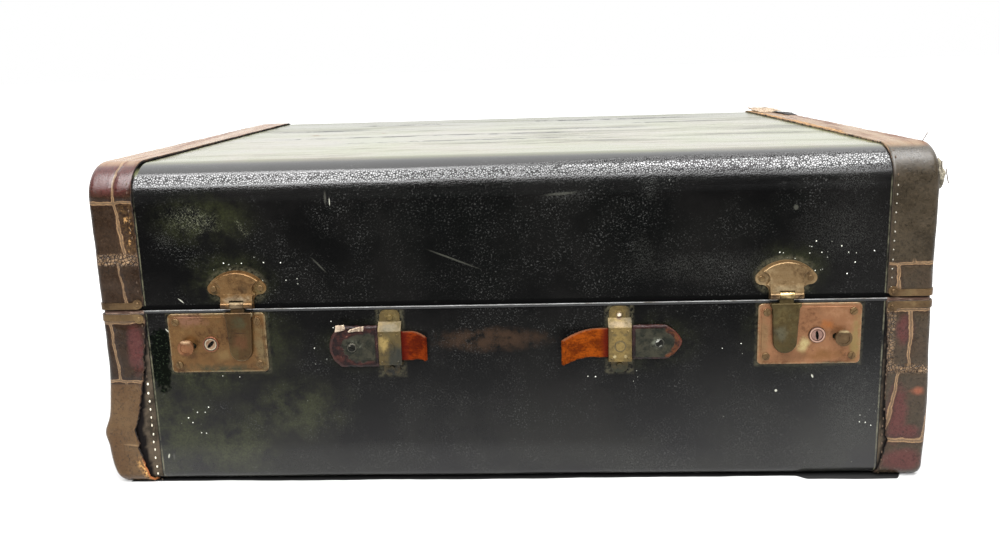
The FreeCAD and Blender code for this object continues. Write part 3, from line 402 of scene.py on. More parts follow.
def leathercloth():
    paint = Finish("black_leathercloth")
    x, y, z = paint.split()
    slow = paint.noise(14.0, 5.0, 0.6)
    paint.colour = paint.tones(slow, 0.35, 0.7, (0.0018, 0.0018, 0.0018), (0.0044, 0.0042, 0.0040))
    # Painted light: the cloth is lighter low down, more so near the ends, and on the bottom roll, as the
    # floor's light on the panels.
    painted_floor_light = paint.step(z, 0.16, -0.02) ** 2.8
    near_ends = paint.step(abs(x), 0.17, 0.26, 0.60, 0.95)
    painted_floor_light = paint.most(painted_floor_light * near_ends, paint.step(z, 10 * mm, 3 * mm))
    paint.lay(painted_floor_light, paint.tones(slow, 0.40, 0.60, (0.0125, 0.0120, 0.0125), (0.0180, 0.0180, 0.0160)))
    speckle = paint.product(paint.patchy(760.0, 4.0, 0.75, 0.55, 0.66),
                            paint.patchy(30.0, 6.0, 0.75, 0.42, 0.66))
    paint.lay(speckle, (0.046, 0.046, 0.044))
    dust, bald = cloth_marks(paint)
    # Painted shade: the cloth is black along its very bottom edge, as the shadow under the case, and loses
    # its gloss there.
    painted_foot_shade = paint.step(z, 2.5 * mm, 1.5 * mm)
    paint.lay(painted_foot_shade, (0.002, 0.002, 0.002))

    on_top = paint.step(z, 246.0 * mm, 249.8 * mm)
    front_roll = paint.step(z, 219 * mm, 229 * mm)
    # Painted shade: a black line along the top beside the left band, as the shadow in the gap at the band's
    # edge. The film covers it fully and the gloss is taken out.
    painted_gap_shade = paint.step(x, -band_edge + 2.8 * mm, -band_edge + 2.3 * mm) * paint.step(z, 238 * mm, 246 * mm)
    clumps = paint.grain((230.0, 620.0, 620.0), 4.0, 0.75)
    pebbles = paint.cells(610.0, "DISTANCE_TO_EDGE") + (clumps - 0.5) * 0.60
    smooth_from = paint.step(x, -0.06, 0.14, 239 * mm, 243.2 * mm)
    net = paint.step(pebbles, 0.17, 0.05) * paint.step(z - smooth_from, 0.0, 3 * mm, 1.0, 0.05)
    net = net * paint.step(z, 230 * mm, 236 * mm, 0.25, 1.0)
    wrinkles = paint.grain((16.0, 60.0, 60.0), 6.0, 0.6)
    normal = paint.bump(wrinkles, 0.30 * mm, 0.6)
    normal = paint.bump(1.0 - net, 0.10 * mm, 0.9, after=normal)
    blocked = net * paint.step(front_roll, 0.0, 1.0, 0.35, 0.85)
    duller = paint.most(paint.step(x, 0.05, 0.19, 0.58, 1.0), paint.step(z, 0.05, 0.020))
    panel = paint.math("MULTIPLY_ADD", paint.step(z, 0.15, -0.03) * duller, 0.36, 0.06)
    panel = panel + paint.step(x, 0.19, 0.26, 0.0, 0.10)
    panel = panel * (1.0 - bald * 0.9) * (1.0 - painted_foot_shade)
    glossy = panel + front_roll * (1.0 - panel)
    glossy = glossy * (1.0 - blocked) * (1.0 - painted_gap_shade)
    rough = paint.step(front_roll, 0.0, 1.0, 0.27, 0.15) + dust * 0.2
    paint.finish(rough, normal, Specular_IOR_Level=glossy)

    streaks = paint.grain((5.0, 34.0, 1.0), 9.0, 0.74)
    film = paint.tones(paint.noise(9.0, 6.0, 0.7), 0.40, 0.62, (0.250, 0.262, 0.130), (0.285, 0.260, 0.175))
    film = paint.tones(streaks, 0.48, 0.66, film, (0.060, 0.062, 0.036))
    film = paint.mix(paint.step(y, -0.02, 0.19, 0.0, 0.9), film, (0.115, 0.120, 0.065))
    bent = y + (paint.noise(5.0, 3.0) - 0.5) * (26 * mm)
    # Painted shade: dark lines along the creases, with more film over them.
    lines = []
    for line_x, half, line_y, width in crease_shade_lines:
        thin = paint.step(abs(bent - line_y * mm), width * mm, 0.3 * width * mm)
        lines.append(thin * paint.spot(line_x, line_y, half, 90, ragged=0.8, on_top=True))
    crease_shade = paint.most(*lines) * paint.patchy(60.0, 5.0, 0.7, 0.36, 0.54)
    film = paint.mix(crease_shade, film, (0.014, 0.014, 0.011))
    chips = paint.spots([(-193, 16, 6, 4), (-127, 22, 3, 2.5)], on_top=True, ragged=0.8)
    film = paint.mix(chips, film, (0.16, 0.07, 0.03))
    share = paint.most(paint.step(streaks, 0.42, 0.66, 0.34, 0.74), crease_shade * 0.85)
    share = share + paint.step(y, -0.02, 0.19, 0.0, 0.09)
    share = paint.most(paint.most(share, chips) * on_top, painted_gap_shade)
    paint.film(share, paint.mix(painted_gap_shade, film, (0.002, 0.002, 0.002)))
    return paint.material


black_cloth = leathercloth()
print("made", black_cloth.name)

# %% [markdown]
# ## Crocodile-grained leather
#
# Embossed cowhide copies a crocodile's belly: rows of long tiles between double lines where the die pressed
# the dye away and left tan. The tiles follow the band, not the world, so each band carries its own maps.
# "band" holds the distances across and along the leather. "tiles" holds the number of the row, counted in
# shares of a tile, and the distance past the row's first upright line; "more" holds the second line's.

# %% The crocodile leather finish
tile_length = 46 * mm


def crocodile_leather():
    paint = Finish("crocodile_leather")
    along = paint.uv("band")[1]
    row, first_line = paint.uv("tiles")
    second_line = paint.uv("more")[0]
    wander = paint.noise(48.0, 3.0, 0.6) - 0.5
    row = row + wander * (5 * mm / tile_length)
    row_share = paint.math("FRACT", row)
    row_gap = paint.math("MINIMUM", row_share, 1.0 - row_share) * tile_length
    bend = (paint.noise(60.0, 3.0, 0.6) - 0.5) * (5 * mm)
    first_line, second_line = (line + bend for line in (first_line, second_line))
    line_gap = paint.math("MINIMUM", abs(first_line), abs(second_line))
    gap = paint.math("SMOOTH_MIN", row_gap, line_gap, 2.2 * mm)
    gap = gap * paint.step(paint.noise(30.0, 2.0), 0.3, 0.7, 0.62, 1.25)
    gap = gap + (paint.noise(330.0, 4.0, 0.7) - 0.5) * (1.0 * mm)
    ridge = paint.step(gap, 0.25 * mm, 0.50 * mm) * paint.step(gap, 1.15 * mm, 0.80 * mm)
    ditch = paint.step(gap, 0.6 * mm, 0.15 * mm)

    column = paint.step(first_line, 0.0, 0.1 * mm) + paint.step(second_line, 0.0, 0.1 * mm)
    dice = paint.add("ShaderNodeTexWhiteNoise", noise_dimensions="2D")
    paint.put(dice.inputs["Vector"], paint.join(paint.math("FLOOR", row), column, 0.0))
    drift = paint.noise(34.0, 5.0, 0.6)
    cloudy = paint.out(dice, "Value") * 0.34 + drift * 0.9
    paint.colour = paint.tones(cloudy, 0.54, 0.66, (0.024, 0.014, 0.009), (0.047, 0.012, 0.013))
    paint.lay(paint.step(cloudy, 0.72, 0.82), (0.036, 0.027, 0.020))
    x, y, z = paint.split()
    maroon_places = [(-290, 240, 32, 17), (-281, 111, 9, 26), (286, 116, 8, 15), (284, 52, 10, 30),
                     (290, 36, 18, 9), (291, 14, 20, 12)]
    maroon = paint.spots(maroon_places, soft=0.6, ragged=0.7)
    front_tile = paint.tones(x, 0.0, 0.1, (0.013, 0.0065, 0.0032), (0.030, 0.022, 0.014))
    front_tile = paint.mix(paint.step(drift, 0.40, 0.62, 0.0, 0.4), front_tile, (0.036, 0.021, 0.012))
    front_tile = paint.mix(maroon * 0.85, front_tile, (0.058, 0.016, 0.015))
    paint.lay(paint.step(y, -0.150, -0.165), front_tile)
    plain_part = paint.attribute("plain")
    brown = paint.tones(drift, 0.35, 0.65, (0.019, 0.0145, 0.009), (0.035, 0.0265, 0.0165))
    brown = paint.tones(along, 100 * mm, 80 * mm, brown,
                        paint.tones(drift, 0.35, 0.65, (0.056, 0.028, 0.010), (0.082, 0.047, 0.020)))
    paint.lay(plain_part, brown)
    mottle = paint.noise(520.0, 6.0, 0.85)
    quick_noise = paint.noise(210.0, 5.0, 0.7)
    paint.lay(paint.step(mottle, 0.50, 0.36, 0.0, 0.8), (0.007, 0.005, 0.003))
    paint.lay(paint.step(mottle, 0.52, 0.66, 0.0, 0.26), (0.080, 0.054, 0.034))
    orange = paint.spot(-277.5, 200, 4.5, 26) * paint.step(quick_noise, 0.57, 0.63)
    paint.lay(orange, (0.26, 0.145, 0.055))
    fold = paint.spot(-290, 32.5, 14, 0.8, turn=-4, ragged=0.4)
    paint.lay(fold * 0.8, (0.145, 0.090, 0.045))
    lines_show = 1.0 - plain_part
    shade = paint.step(gap, 3.2 * mm, 0.9 * mm) * lines_show
    paint.lay(shade * 0.5, (0.020, 0.010, 0.007))
    paint.lay(ditch * 0.8 * lines_show, (0.098, 0.063, 0.036))
    faded = paint.patchy(120.0, 7.0, 0.75, 0.30, 0.62, 0.30, 0.95)
    paint.lay(ridge * lines_show * faded, (0.20, 0.125, 0.066))
    cracks = paint.step(paint.cells(400.0, "DISTANCE_TO_EDGE"), 0.03, 0.16)
    cracked = paint.attribute("cracked")
    crumbs = paint.tones(quick_noise, 0.42, 0.62, (0.075, 0.046, 0.024), (0.240, 0.155, 0.088))
    paint.lay(cracked * 0.8, paint.mix(cracks, (0.012, 0.007, 0.005), crumbs))
    raw = paint.attribute("raw")
    fibre = paint.mix(paint.patchy(420.0, 5.0, 0.7, 0.40, 0.64), (0.045, 0.016, 0.006), (0.52, 0.29, 0.10))
    paint.lay(raw, fibre)
    paint.lay(paint.spot(298.3, 68.9, 7, 4.5, soft=0.8, ragged=1.0), (0.135, 0.045, 0.024))

    relief = paint.step(gap, 0.0, 4.5 * mm) * lines_show + cracks * cracked
    normal = paint.bump(relief, 0.8 * mm, 0.7)
    normal = paint.bump(mottle, 0.22 * mm, 0.7, after=normal)
    normal = paint.bump(paint.noise(75.0, 4.0, 0.6), 0.6 * mm, 0.5, after=normal)
    upper = paint.step(z, 206 * mm, 226 * mm)
    polish = upper * paint.step(x, 0.0, 0.1, 0.35, 0.0)
    rough = paint.step(drift, 0.30, 0.70, 0.20, 0.36) * (1.0 - polish)
    paint.finish(rough + raw * 0.4, normal,
                 Specular_IOR_Level=paint.math("MULTIPLY_ADD", upper, 0.23, 0.22))
    streaks = paint.grain((90.0, 9.0, 1.0), 7.0, 0.7)
    worn = paint.tones(streaks, 0.40, 0.62, (0.40, 0.27, 0.16), (0.13, 0.055, 0.032))
    share = paint.step(z, 246 * mm, 249.5 * mm) * paint.step(streaks, 0.35, 0.65, 0.30, 0.62)
    paint.film(share * (1.0 - raw), worn)
    return paint.material


croc = crocodile_leather()


def cut_leather():
    """The bare fibre that shows where leather was cut or torn."""
    paint = Finish("cut_leather")
    fibre = paint.patchy(160.0, 6.0, 0.75, 0.44, 0.68)
    paint.colour = paint.mix(fibre, (0.006, 0.003, 0.002), (0.085, 0.040, 0.018))
    x, z = paint.front()
    on_right = paint.step(x, 0.0, 0.1)
    # Painted light: the cut rims of the right lid band are lightened, as if lit, where they stand in shade.
    painted_light_rim = on_right * paint.step(z, 0.139, 0.142) * 0.8
    paint.lay(painted_light_rim, (0.050, 0.034, 0.022))
    dots = paint.patchy(230.0, 4.0, 0.7, 0.42, 0.56)
    top_rim = on_right * paint.step(z, 0.236, 0.244)
    paint.lay(top_rim, paint.mix(dots, (0.010, 0.005, 0.003), (0.26, 0.17, 0.10)))
    low_curl = paint.step(z, 24 * mm, 14 * mm) * paint.step(x, 0.0, -0.1)
    paint.lay(low_curl * 0.8, (0.34, 0.11, 0.028))
    return paint.finish(0.85, paint.bump(paint.noise(900.0, 4.0), 0.4 * mm))


cut_edge = cut_leather()
print("made", croc.name, "and", cut_edge.name)

# %% [markdown]
# ## Old brass
#
# The fittings are brass that has gone brown in patches and green along its edges, with bright metal where
# hands rubbed it. One recipe serves all of them: three browns mixed by slow noise, pits in the bump, and a
# metal that is rougher where it is dirtier. Each fitting then names its own colours and patches. Some of the
# patches are painted light: highlights on the knobs, the screw heads and the right loop's top, and shadows
# under the left knob and over the loops' lower lobes. The keyholes are painted black as their shade.

# %% The brass recipe
worn_rim = 1.6


def old_brass(name, dark, middle, light, patches=(), grime=0.35, metal=0.7, rough=(0.30, 0.58), pitted=0.5,
              rings=(), frame_of=None, hole=None):
    paint = Finish(name)
    slow = paint.noise(42.0, 6.0, 0.65)
    quick = paint.noise(300.0, 6.0, 0.75)
    blend = slow * 0.6 + quick * 0.4
    paint.colour = paint.tones(blend, 0.38, 0.51, dark, middle)
    paint.lay(paint.step(blend, 0.52, 0.64), light)
    dirt = paint.patchy(150.0, 7.0, 0.78, 0.48, 0.70) * grime
    paint.lay(dirt, (0.030, 0.032, 0.014))
    for tint, place, strength in patches:
        patch = paint.spot(*place, ragged=1.6, soft=0.8) * paint.step(quick, 0.34, 0.54, 0.35, 1.0)
        paint.lay(patch * strength, tint)
    for tint, (x, z), middle_radius, half in rings:
        off = abs(paint.radius(x, z) - middle_radius * mm)
        paint.lay(paint.step(off, half * mm, 0.5 * half * mm), tint)
    if frame_of is not None:
        low, high = (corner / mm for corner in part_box(frame_of))
        inside = paint.block((low.x + high.x) / 2, (low.z + high.z) / 2, (high.x - low.x) / 2 - worn_rim,
                             (high.z - low.z) / 2 - worn_rim, 1.2)
        worn = (1.0 - inside) * paint.step(quick, 0.36, 0.58)
        paint.lay(worn * 0.55, (0.26, 0.21, 0.12))
    if hole is not None:
        # Painted shade: the keyhole is laid black, as the dark inside it.
        paint.lay(paint.spot(*hole, soft=0.12, ragged=0.2), (0.0005, 0.0005, 0.0005))
    normal = paint.bump(quick, 0.22 * mm, pitted)
    normal = paint.bump(paint.cells(620.0), 0.16 * mm, pitted * 0.7, after=normal)
    roughness = paint.step(quick + dirt, 0.35, 0.95, *rough)
    return paint.finish(roughness, normal, metallic=metal)


key_left_at = (-223.5, 113.3)
key_right_at = (223.5, 113.3)
warm_brown = ((0.048, 0.021, 0.007), (0.132, 0.067, 0.023), (0.200, 0.112, 0.040))
coppery = ((0.120, 0.052, 0.022), (0.235, 0.110, 0.052), (0.300, 0.155, 0.080))
dark_olive = ((0.022, 0.015, 0.005), (0.058, 0.040, 0.013), (0.115, 0.085, 0.032))
finishes = {
    "plate_left": old_brass(
        "plate_brass_left", *warm_brown, frame_of="lock_plate_left",
        patches=[
            ((0.046, 0.042, 0.022), (-214, 93.5, 36, 6.0), 0.95),
            ((0.080, 0.040, 0.014), (-216, 101, 26, 8), 0.75),
            ((0.15, 0.115, 0.055), (-186, 108, 6, 26), 0.7),
            ((0.22, 0.105, 0.070), (-240, 132, 18, 7), 0.6),
            # Painted shadow of the knob on the plate.
            ((0.070, 0.032, 0.012), (-238, 104, 5, 4), 0.8),
            ((0.19, 0.125, 0.050), (-215, 104, 9, 7), 0.5)]),
    "plate_right": old_brass(
        "plate_brass_right", *coppery, grime=0.2, frame_of="lock_plate_right",
        patches=[
            ((0.42, 0.35, 0.16), (214, 106, 6, 8, -25), 0.85),
            ((0.30, 0.095, 0.020), (231, 121, 6, 5), 0.8),
            ((0.15, 0.067, 0.020), (229, 98, 18, 7), 0.8),
            ((0.125, 0.060, 0.027), (205, 97, 16, 6), 0.8),
            ((0.2, 0.155, 0.055), (251, 108, 5, 26), 0.75),
            ((0.19, 0.130, 0.060), (186, 112, 5, 26), 0.6),
            ((0.020, 0.017, 0.010), (236, 91.5, 16, 2.2), 0.9)]),
    "bracket_left": old_brass(
        "bracket_brass_left", (0.070, 0.036, 0.014), (0.165, 0.090, 0.034), (0.24, 0.16, 0.075),
        patches=[
            ((0.22, 0.175, 0.115), (-200, 148, 14, 4), 0.7),
            ((0.020, 0.018, 0.008), (-217, 153.5, 4, 4), 0.8),
            ((0.030, 0.016, 0.007), (-209.4, 142.8, 5.4, 3.2), 1.0),
            ((0.030, 0.016, 0.007), (-191, 142.8, 5.4, 3.2), 1.0),
            ((0.11, 0.090, 0.035), (-184, 155, 6, 7), 0.7)]),
    "bracket_right": old_brass(
        "bracket_brass_right", (0.10, 0.058, 0.025), (0.205, 0.132, 0.062), (0.30, 0.215, 0.115), grime=0.2,
        patches=[
            ((0.29, 0.225, 0.130), (200, 149, 14, 4), 0.7),
            ((0.035, 0.024, 0.012), (183.5, 155.5, 3, 3), 0.8),
            ((0.035, 0.018, 0.008), (191, 143, 5.4, 3.4), 1.0),
            ((0.035, 0.018, 0.008), (209.4, 143, 5.4, 3.4), 1.0)]),
    "hasp_left": old_brass(
        "hasp_brass_left", (0.024, 0.012, 0.004), (0.058, 0.031, 0.010), (0.088, 0.058, 0.021),
        frame_of="hasp_left",
        patches=[
            ((0.044, 0.047, 0.024), (-201, 131, 7, 7), 0.6),
            ((0.105, 0.040, 0.018), (-200, 116, 8, 8), 0.6),
            ((0.030, 0.014, 0.008), (-200, 122.5, 8, 0.7), 0.8),
            ((0.18, 0.130, 0.075), (-200, 143.5, 7, 2.6), 0.9)]),
    "hasp_right": old_brass(
        "hasp_brass_right", *dark_olive, grime=0.5, pitted=0.9,
        patches=[
            ((0.10, 0.098, 0.065), (197, 116, 7, 9), 0.55), ((0.62, 0.44, 0.2), (200, 146.5, 9, 4.4), 1.0)]
    ),
    "knob_left": old_brass(
        "knob_brass_left", (0.090, 0.036, 0.015), (0.19, 0.082, 0.036), (0.27, 0.14, 0.068),
        patches=[
            # Painted highlight along the knob's top, then painted shade under the knob.
            ((0.62, 0.42, 0.25), (-241, 116.6, 5.5, 2.0), 0.95),
            ((0.050, 0.020, 0.008), (-241, 107, 5, 2.2), 0.8)]),
    "knob_right": old_brass(
        "knob_brass_right", (0.040, 0.022, 0.010), (0.090, 0.054, 0.025), (0.15, 0.095, 0.045),
        # Painted highlight along the knob's top.
        patches=[((0.42, 0.32, 0.17), (241, 117.2, 5.5, 1.5), 0.95)]),
    "loop": old_brass(
        "loop_brass", (0.025, 0.017, 0.004), (0.062, 0.041, 0.010), (0.112, 0.076, 0.020), grime=0.45,
        metal=0.35, rough=(0.46, 0.7),
        patches=[
            ((0.23, 0.155, 0.045), (81, 112, 10, 30), 0.5),
            ((0.012, 0.013, 0.008), (-83, 104, 9.5, 12, -20), 1.0),
            ((0.014, 0.014, 0.009), (-83, 103, 9.5, 14, -20), 1.0),
            ((0.22, 0.155, 0.048), (-93, 113.5, 5, 9), 0.95),
            # Painted shadow over the loops' lower lobes.
            ((0.006, 0.006, 0.004), (-88, 89, 12, 8), 1.0),
            ((0.014, 0.015, 0.007), (81, 89, 12, 7), 1.0),
            # Painted highlight on the right loop's top rivet, and painted shade just under it.
            ((0.7, 0.58, 0.46), (81, 131, 2.2, 2.2), 1.0),
            ((0.060, 0.030, 0.016), (81, 128.4, 2.6, 1.4), 1.0),
            ((0.050, 0.038, 0.014), (77, 117, 2.6, 1.6), 0.9),
            ((0.050, 0.038, 0.014), (85, 117, 2.6, 1.6), 0.9),
            ((0.34, 0.28, 0.15), (77, 100.5, 1.8, 1.8), 0.9),
            ((0.34, 0.28, 0.15), (85, 100.5, 1.8, 1.8), 0.9),
            ((0.055, 0.045, 0.022), (-88, 124.5, 10, 4.0), 0.9),
            # Painted highlight on the right loop's top bevel.
            ((0.16, 0.120, 0.075), (81, 124.5, 9, 2.6), 0.6)],
        rings=[((0.075, 0.055, 0.022), (81, 108.5), 3.9, 0.7)]),
    "fixings": old_brass("fixing_brass", (0.055, 0.032, 0.014), (0.130, 0.078, 0.033), (0.22, 0.15, 0.070)),
    "clips": old_brass("clip_brass", (0.055, 0.032, 0.015), (0.120, 0.073, 0.034), (0.2, 0.130, 0.060)),
    "hinges": old_brass("hinge_brass", (0.065, 0.040, 0.016), (0.17, 0.11, 0.045), (0.27, 0.19, 0.085)),
    "key_left": old_brass(
        "key_brass_left", (0.16, 0.085, 0.045), (0.26, 0.17, 0.105), (0.34, 0.26, 0.18), grime=0.10,
        hole=(*key_left_at, 3.9, 1.5, 47),
        rings=[
            ((0.16, 0.060, 0.030), key_left_at, 5.7, 0.9),
            ((0.44, 0.38, 0.28), key_left_at, 4.1, 0.5),
            ((0.030, 0.018, 0.010), key_left_at, 4.75, 0.4)]),
    "key_right": old_brass(
        "key_brass_right", (0.16, 0.080, 0.060), (0.26, 0.155, 0.125), (0.33, 0.22, 0.19), grime=0.10,
        hole=(223.5, 113.0, 1.2, 3.5, 6),
        rings=[
            ((0.040, 0.018, 0.010), key_right_at, 5.9, 0.6),
            ((0.4, 0.25, 0.19), key_right_at, 5.0, 0.7),
            ((0.060, 0.025, 0.016), key_right_at, 4.2, 0.35)])}
print(len(finishes), "brass finishes")

# %% [markdown]
# ## Steel, wood, lining and the edging
#
# The edging of the base is a bright strip, rubbed by the lid at every closing, and the lid's is painted
# black; its near-black also stands for the shade in the gap at the seam. Wood and lining only show with the
# lid up, but they are on the real case, so they get their grain.

# %% The other finishes
def dull_steel():
    paint = Finish("dull_steel")
    spots = paint.noise(150.0, 6.0, 0.7)
    paint.colour = paint.tones(spots, 0.4, 0.7, (0.30, 0.29, 0.27), (0.10, 0.075, 0.05))
    return paint.finish(paint.step(spots, 0.3, 0.8, 0.32, 0.6), paint.bump(spots, 0.2 * mm), metallic=0.9)


def bright_edging():
    paint = Finish("bright_edging")
    x, z = paint.front()
    spots = paint.grain((60.0, 60.0, 300.0), 6.0, 0.7)
    paint.colour = paint.tones(spots, 0.46, 0.70, (0.86, 0.87, 0.86), (0.25, 0.21, 0.16))
    rubbed = paint.product(paint.step(z, seam_z - 0.62 * mm, seam_z - 0.50 * mm),
                           paint.step(z, seam_z - 0.02 * mm, seam_z - 0.12 * mm))
    paint.colour = paint.mix(rubbed, (0.012, 0.012, 0.012), paint.colour)
    paint.lay(paint.step(abs(x), band_edge, band_edge + 1 * mm),
              paint.tones(spots, 0.46, 0.60, (0.060, 0.030, 0.020), (0.22, 0.15, 0.11)))
    return paint.finish(paint.step(rubbed, 0.0, 1.0, 0.6, 0.3), paint.bump(spots, 0.15 * mm),
                        metallic=rubbed)


def black_seam_shade_edging():
    paint = Finish("black_seam_shade_edging")
    chips = paint.patchy(180.0, 7.0, 0.75, 0.62, 0.70)
    # Near-black with little gloss: black paint, and the painted shade of the seam's gap.
    paint.colour = paint.mix(chips, (0.0008, 0.0008, 0.0008), (0.012, 0.012, 0.010))
    return paint.finish(0.6, paint.bump(chips, 0.1 * mm), Specular_IOR_Level=0.04)


def shell_wood():
    paint = Finish("shell_wood")
    rings = paint.grain((6.0, 70.0, 70.0), 6.0, 0.6, warp=0.6)
    paint.colour = paint.tones(rings, 0.35, 0.65, (0.36, 0.23, 0.12), (0.50, 0.35, 0.20))
    return paint.finish(0.7, paint.bump(rings, 0.4 * mm))


def lining_cloth():
    paint = Finish("lining_cloth")
    x, y, z = paint.split()
    weave = paint.math("SINE", (x + z) * 3200.0) * paint.math("SINE", (y + z) * 3200.0)
    stains = paint.noise(9.0, 6.0, 0.6)
    paint.colour = paint.tones(stains, 0.4, 0.75, (0.36, 0.28, 0.17), (0.22, 0.155, 0.09))
    return paint.finish(0.9, paint.bump(weave, 0.2 * mm), Sheen_Weight=0.3)


screw_places = {}
for side in sides:
    screw_low, screw_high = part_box("handle_screw_" + side)
    screw_places[side] = ((screw_low.x + screw_high.x) / 2 / mm, (screw_low.z + screw_high.z) / 2 / mm)
left_x, left_z = screw_places["left"]
right_x, right_z = screw_places["right"]
finishes["screw"] = old_brass(
    "screw_steel", (0.004, 0.004, 0.003), (0.010, 0.010, 0.008), (0.05, 0.05, 0.045),
    # Painted highlights on the screw heads.
    patches=[((0.50, 0.50, 0.44), (right_x - 1.2, right_z + 1.9, 2.4, 0.9, 35), 1.0),
             ((0.22, 0.22, 0.19), (right_x + 0.6, right_z - 2.0, 2.2, 0.7, 30), 1.0),
             ((0.16, 0.15, 0.12), (left_x - 1.6, left_z + 1.6, 1.4, 1.0, 40), 1.0)],
    rings=[((0.080, 0.075, 0.058), screw_places["left"], 3.2, 0.5),
           ((0.080, 0.080, 0.065), screw_places["right"], 3.2, 0.4)])
finishes.update(steel=dull_steel(), base_edging=bright_edging(), lid_edging=black_seam_shade_edging(), wood=shell_wood(),
                lining=lining_cloth())
print("finishes so far:", len(finishes))

# %% [markdown]
# ## Handle leather
#
# Where the handle tore, its inner fibre is a vivid orange suede, darker and redder where it goes under the
# loop. The tabs on the outer side kept a maroon skin, torn away round a dark painted plate. One finish does
# both, and the distance from the nearer loop decides which shows.

# %% The handle's finishes
loop_places = {side: (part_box("handle_loop_" + side)[0].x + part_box("handle_loop_" + side)[1].x) / 2
               for side in sides}


def handle_leather(side):
    paint = Finish("handle_leather_" + side)
    x, z = paint.front()
    inward = (x - loop_places[side]) * -float(sides[side])
    fibre = paint.grain((260.0, 520.0, 520.0), 6.0, 0.75)
    blotch = paint.noise(75.0, 4.0, 0.6)
    tips = {"left": ((0.040, 0.004, 0.0007), (0.112, 0.016, 0.0014)),
            "right": ((0.060, 0.010, 0.0007), (0.150, 0.030, 0.0018))}
    suede = paint.tones(fibre + blotch, 0.86, 1.16, *tips[side])
    ends = {"left": (17, 9), "right": (16, 10)}
    root = paint.step(inward, ends[side][0] * mm, ends[side][1] * mm)
    suede = paint.mix(root * 0.9, suede, (0.050, 0.004, 0.002))
    suede = paint.mix(paint.step(fibre, 0.42, 0.30, 0.0, 0.7), suede, (0.045, 0.010, 0.003))
    skin = paint.tones(blotch, 0.4, 0.62, (0.005, 0.002, 0.002), (0.021, 0.005, 0.004))
    skin = paint.mix(paint.patchy(260.0, 6.0, 0.78, 0.60, 0.70), skin, (0.16, 0.085, 0.050))
    paint.colour = paint.tones(inward, 0.0, 2 * mm, skin, suede)
    paint.lay(paint.attribute("edge"), (0.085, 0.036, 0.018))
    paint.lay(paint.attribute("tip"), (0.055, 0.010, 0.003))
    pale = paint.product(paint.step(z, 123.5 * mm, 124.5 * mm), paint.step(x, 0.0, 0.05),
                         paint.step(paint.noise(150.0, 4.0), 0.35, 0.5))
    paint.lay(pale * 0.7, (0.25, 0.23, 0.15))
    normal = paint.bump(fibre, 0.5 * mm, 0.8)
    normal = paint.bump(paint.noise(700.0, 4.0), 0.3 * mm, 0.6, after=normal)
    return paint.finish(paint.step(inward, 0.0, 4 * mm, 0.5, 0.8), normal,
                        Specular_IOR_Level=paint.step(inward, 0.0, 4 * mm, 0.35, 0.04))


def painted_plate():
    """Dark paint on the end plates, with torn leather still stuck round the rims."""
    paint = Finish("painted_plate")
    worn = paint.noise(150.0, 7.0, 0.75)
    paint.colour = paint.tones(worn, 0.38, 0.60, (0.004, 0.005, 0.003), (0.021, 0.0195, 0.012))
    pale = paint.product(
        paint.step(worn, 0.46, 0.66),
        paint.spots([(-115, 111, 9, 7), (108, 110, 8, 6)], soft=0.9))
    paint.lay(pale, (0.085, 0.092, 0.070))
    inside = paint.most(paint.spot(-108, 109.5, 17, 11.5, soft=0.12, ragged=0.9),
                        paint.block(-104, 109.5, 8, 9, 2.5), paint.block(101, 110, 12, 12, 2.0),
                        paint.spot(106, 110, 15, 12.5, soft=0.12, ragged=0.7))
    flakes = paint.noise(230.0, 6.0, 0.75)
    torn = paint.tones(flakes, 0.42, 0.60, (0.005, 0.002, 0.002), (0.026, 0.007, 0.005))
    torn = paint.tones(flakes, 0.62, 0.72, torn, (0.20, 0.10, 0.065))
    torn = paint.tones(paint.split()[0], 0.10, 0.118, torn,
                       paint.tones(flakes, 0.4, 0.6, (0.014, 0.004, 0.002), (0.060, 0.018, 0.005)))
    paint.colour = paint.mix(inside, torn, paint.colour)
    rough = paint.step(inside, 0.0, 1.0, 0.7, 0.34)
    return paint.finish(rough, paint.bump(worn - inside, 0.5 * mm, 0.7), Specular_IOR_Level=0.2)


handle_finishes = {side: handle_leather(side) for side in sides}
finishes["plate_paint"] = painted_plate()
print("loops at x =", {side: round(place, 4) for side, place in loop_places.items()})

# %% [markdown]
# ## Dressing the frame's own pieces
#
# The fittings already have their real shape, so they only need a finish. A table says which finish goes
# with which name, by the start of the name.

# %% Give each node its finish
def node_finish(name):
    side = name.rsplit("_", 1)[-1]
    by_start = [
        ("lock_plate", "plate_" + side), ("hasp_bracket", "bracket_" + side), ("hasp_pin", "steel"),
        ("hasp", "hasp_" + side), ("staple", "fixings"), ("catch_knob", "knob_" + side),
        ("catch_", "steel"), ("lock_case", "steel"), ("key_", "key_" + side), ("handle_loop", "loop"),
        ("handle_plate", "plate_paint"), ("handle_screw", "screw"), ("hinge_", "hinges"),
        ("base_hinge", "hinges"), ("lid_hinge", "hinges"), ("base_rim", "base_edging"),
        ("lid_rim", "lid_edging"), ("base_clip", "clips"), ("lid_clip", "clips"), ("base_carcase", "wood"),
        ("lid_carcase", "wood"), ("base_lining", "lining"), ("lid_lining", "lining"),
        ("loop_rivets", "loop"), ("", "fixings")]
    return next(finish for start, finish in by_start if name.startswith(start))


for name, node in nodes.items():
    node.data.materials.clear()
    node.data.materials.append(finishes[node_finish(name)])
print("dressed", len(nodes), "nodes")

# %% [markdown]
# ## The case's outer form as a skin
#
# Covering and bindings share one form: a long box whose top edges are rolled widely, whose bottom edges are
# rolled less, and whose ends are nearly square. The skin is drawn as rings. A ring is the outline seen from
# the end. It runs along the case, tucks in round the end's small radius, and then shrinks over the end wall.
# Each ring has the same points, so the skin is all quads, and every point knows how far along and across the
# leather it lies. That gives the bindings their UV map for nothing.

# %% Rings, stations and the skin
arc_steps = 12


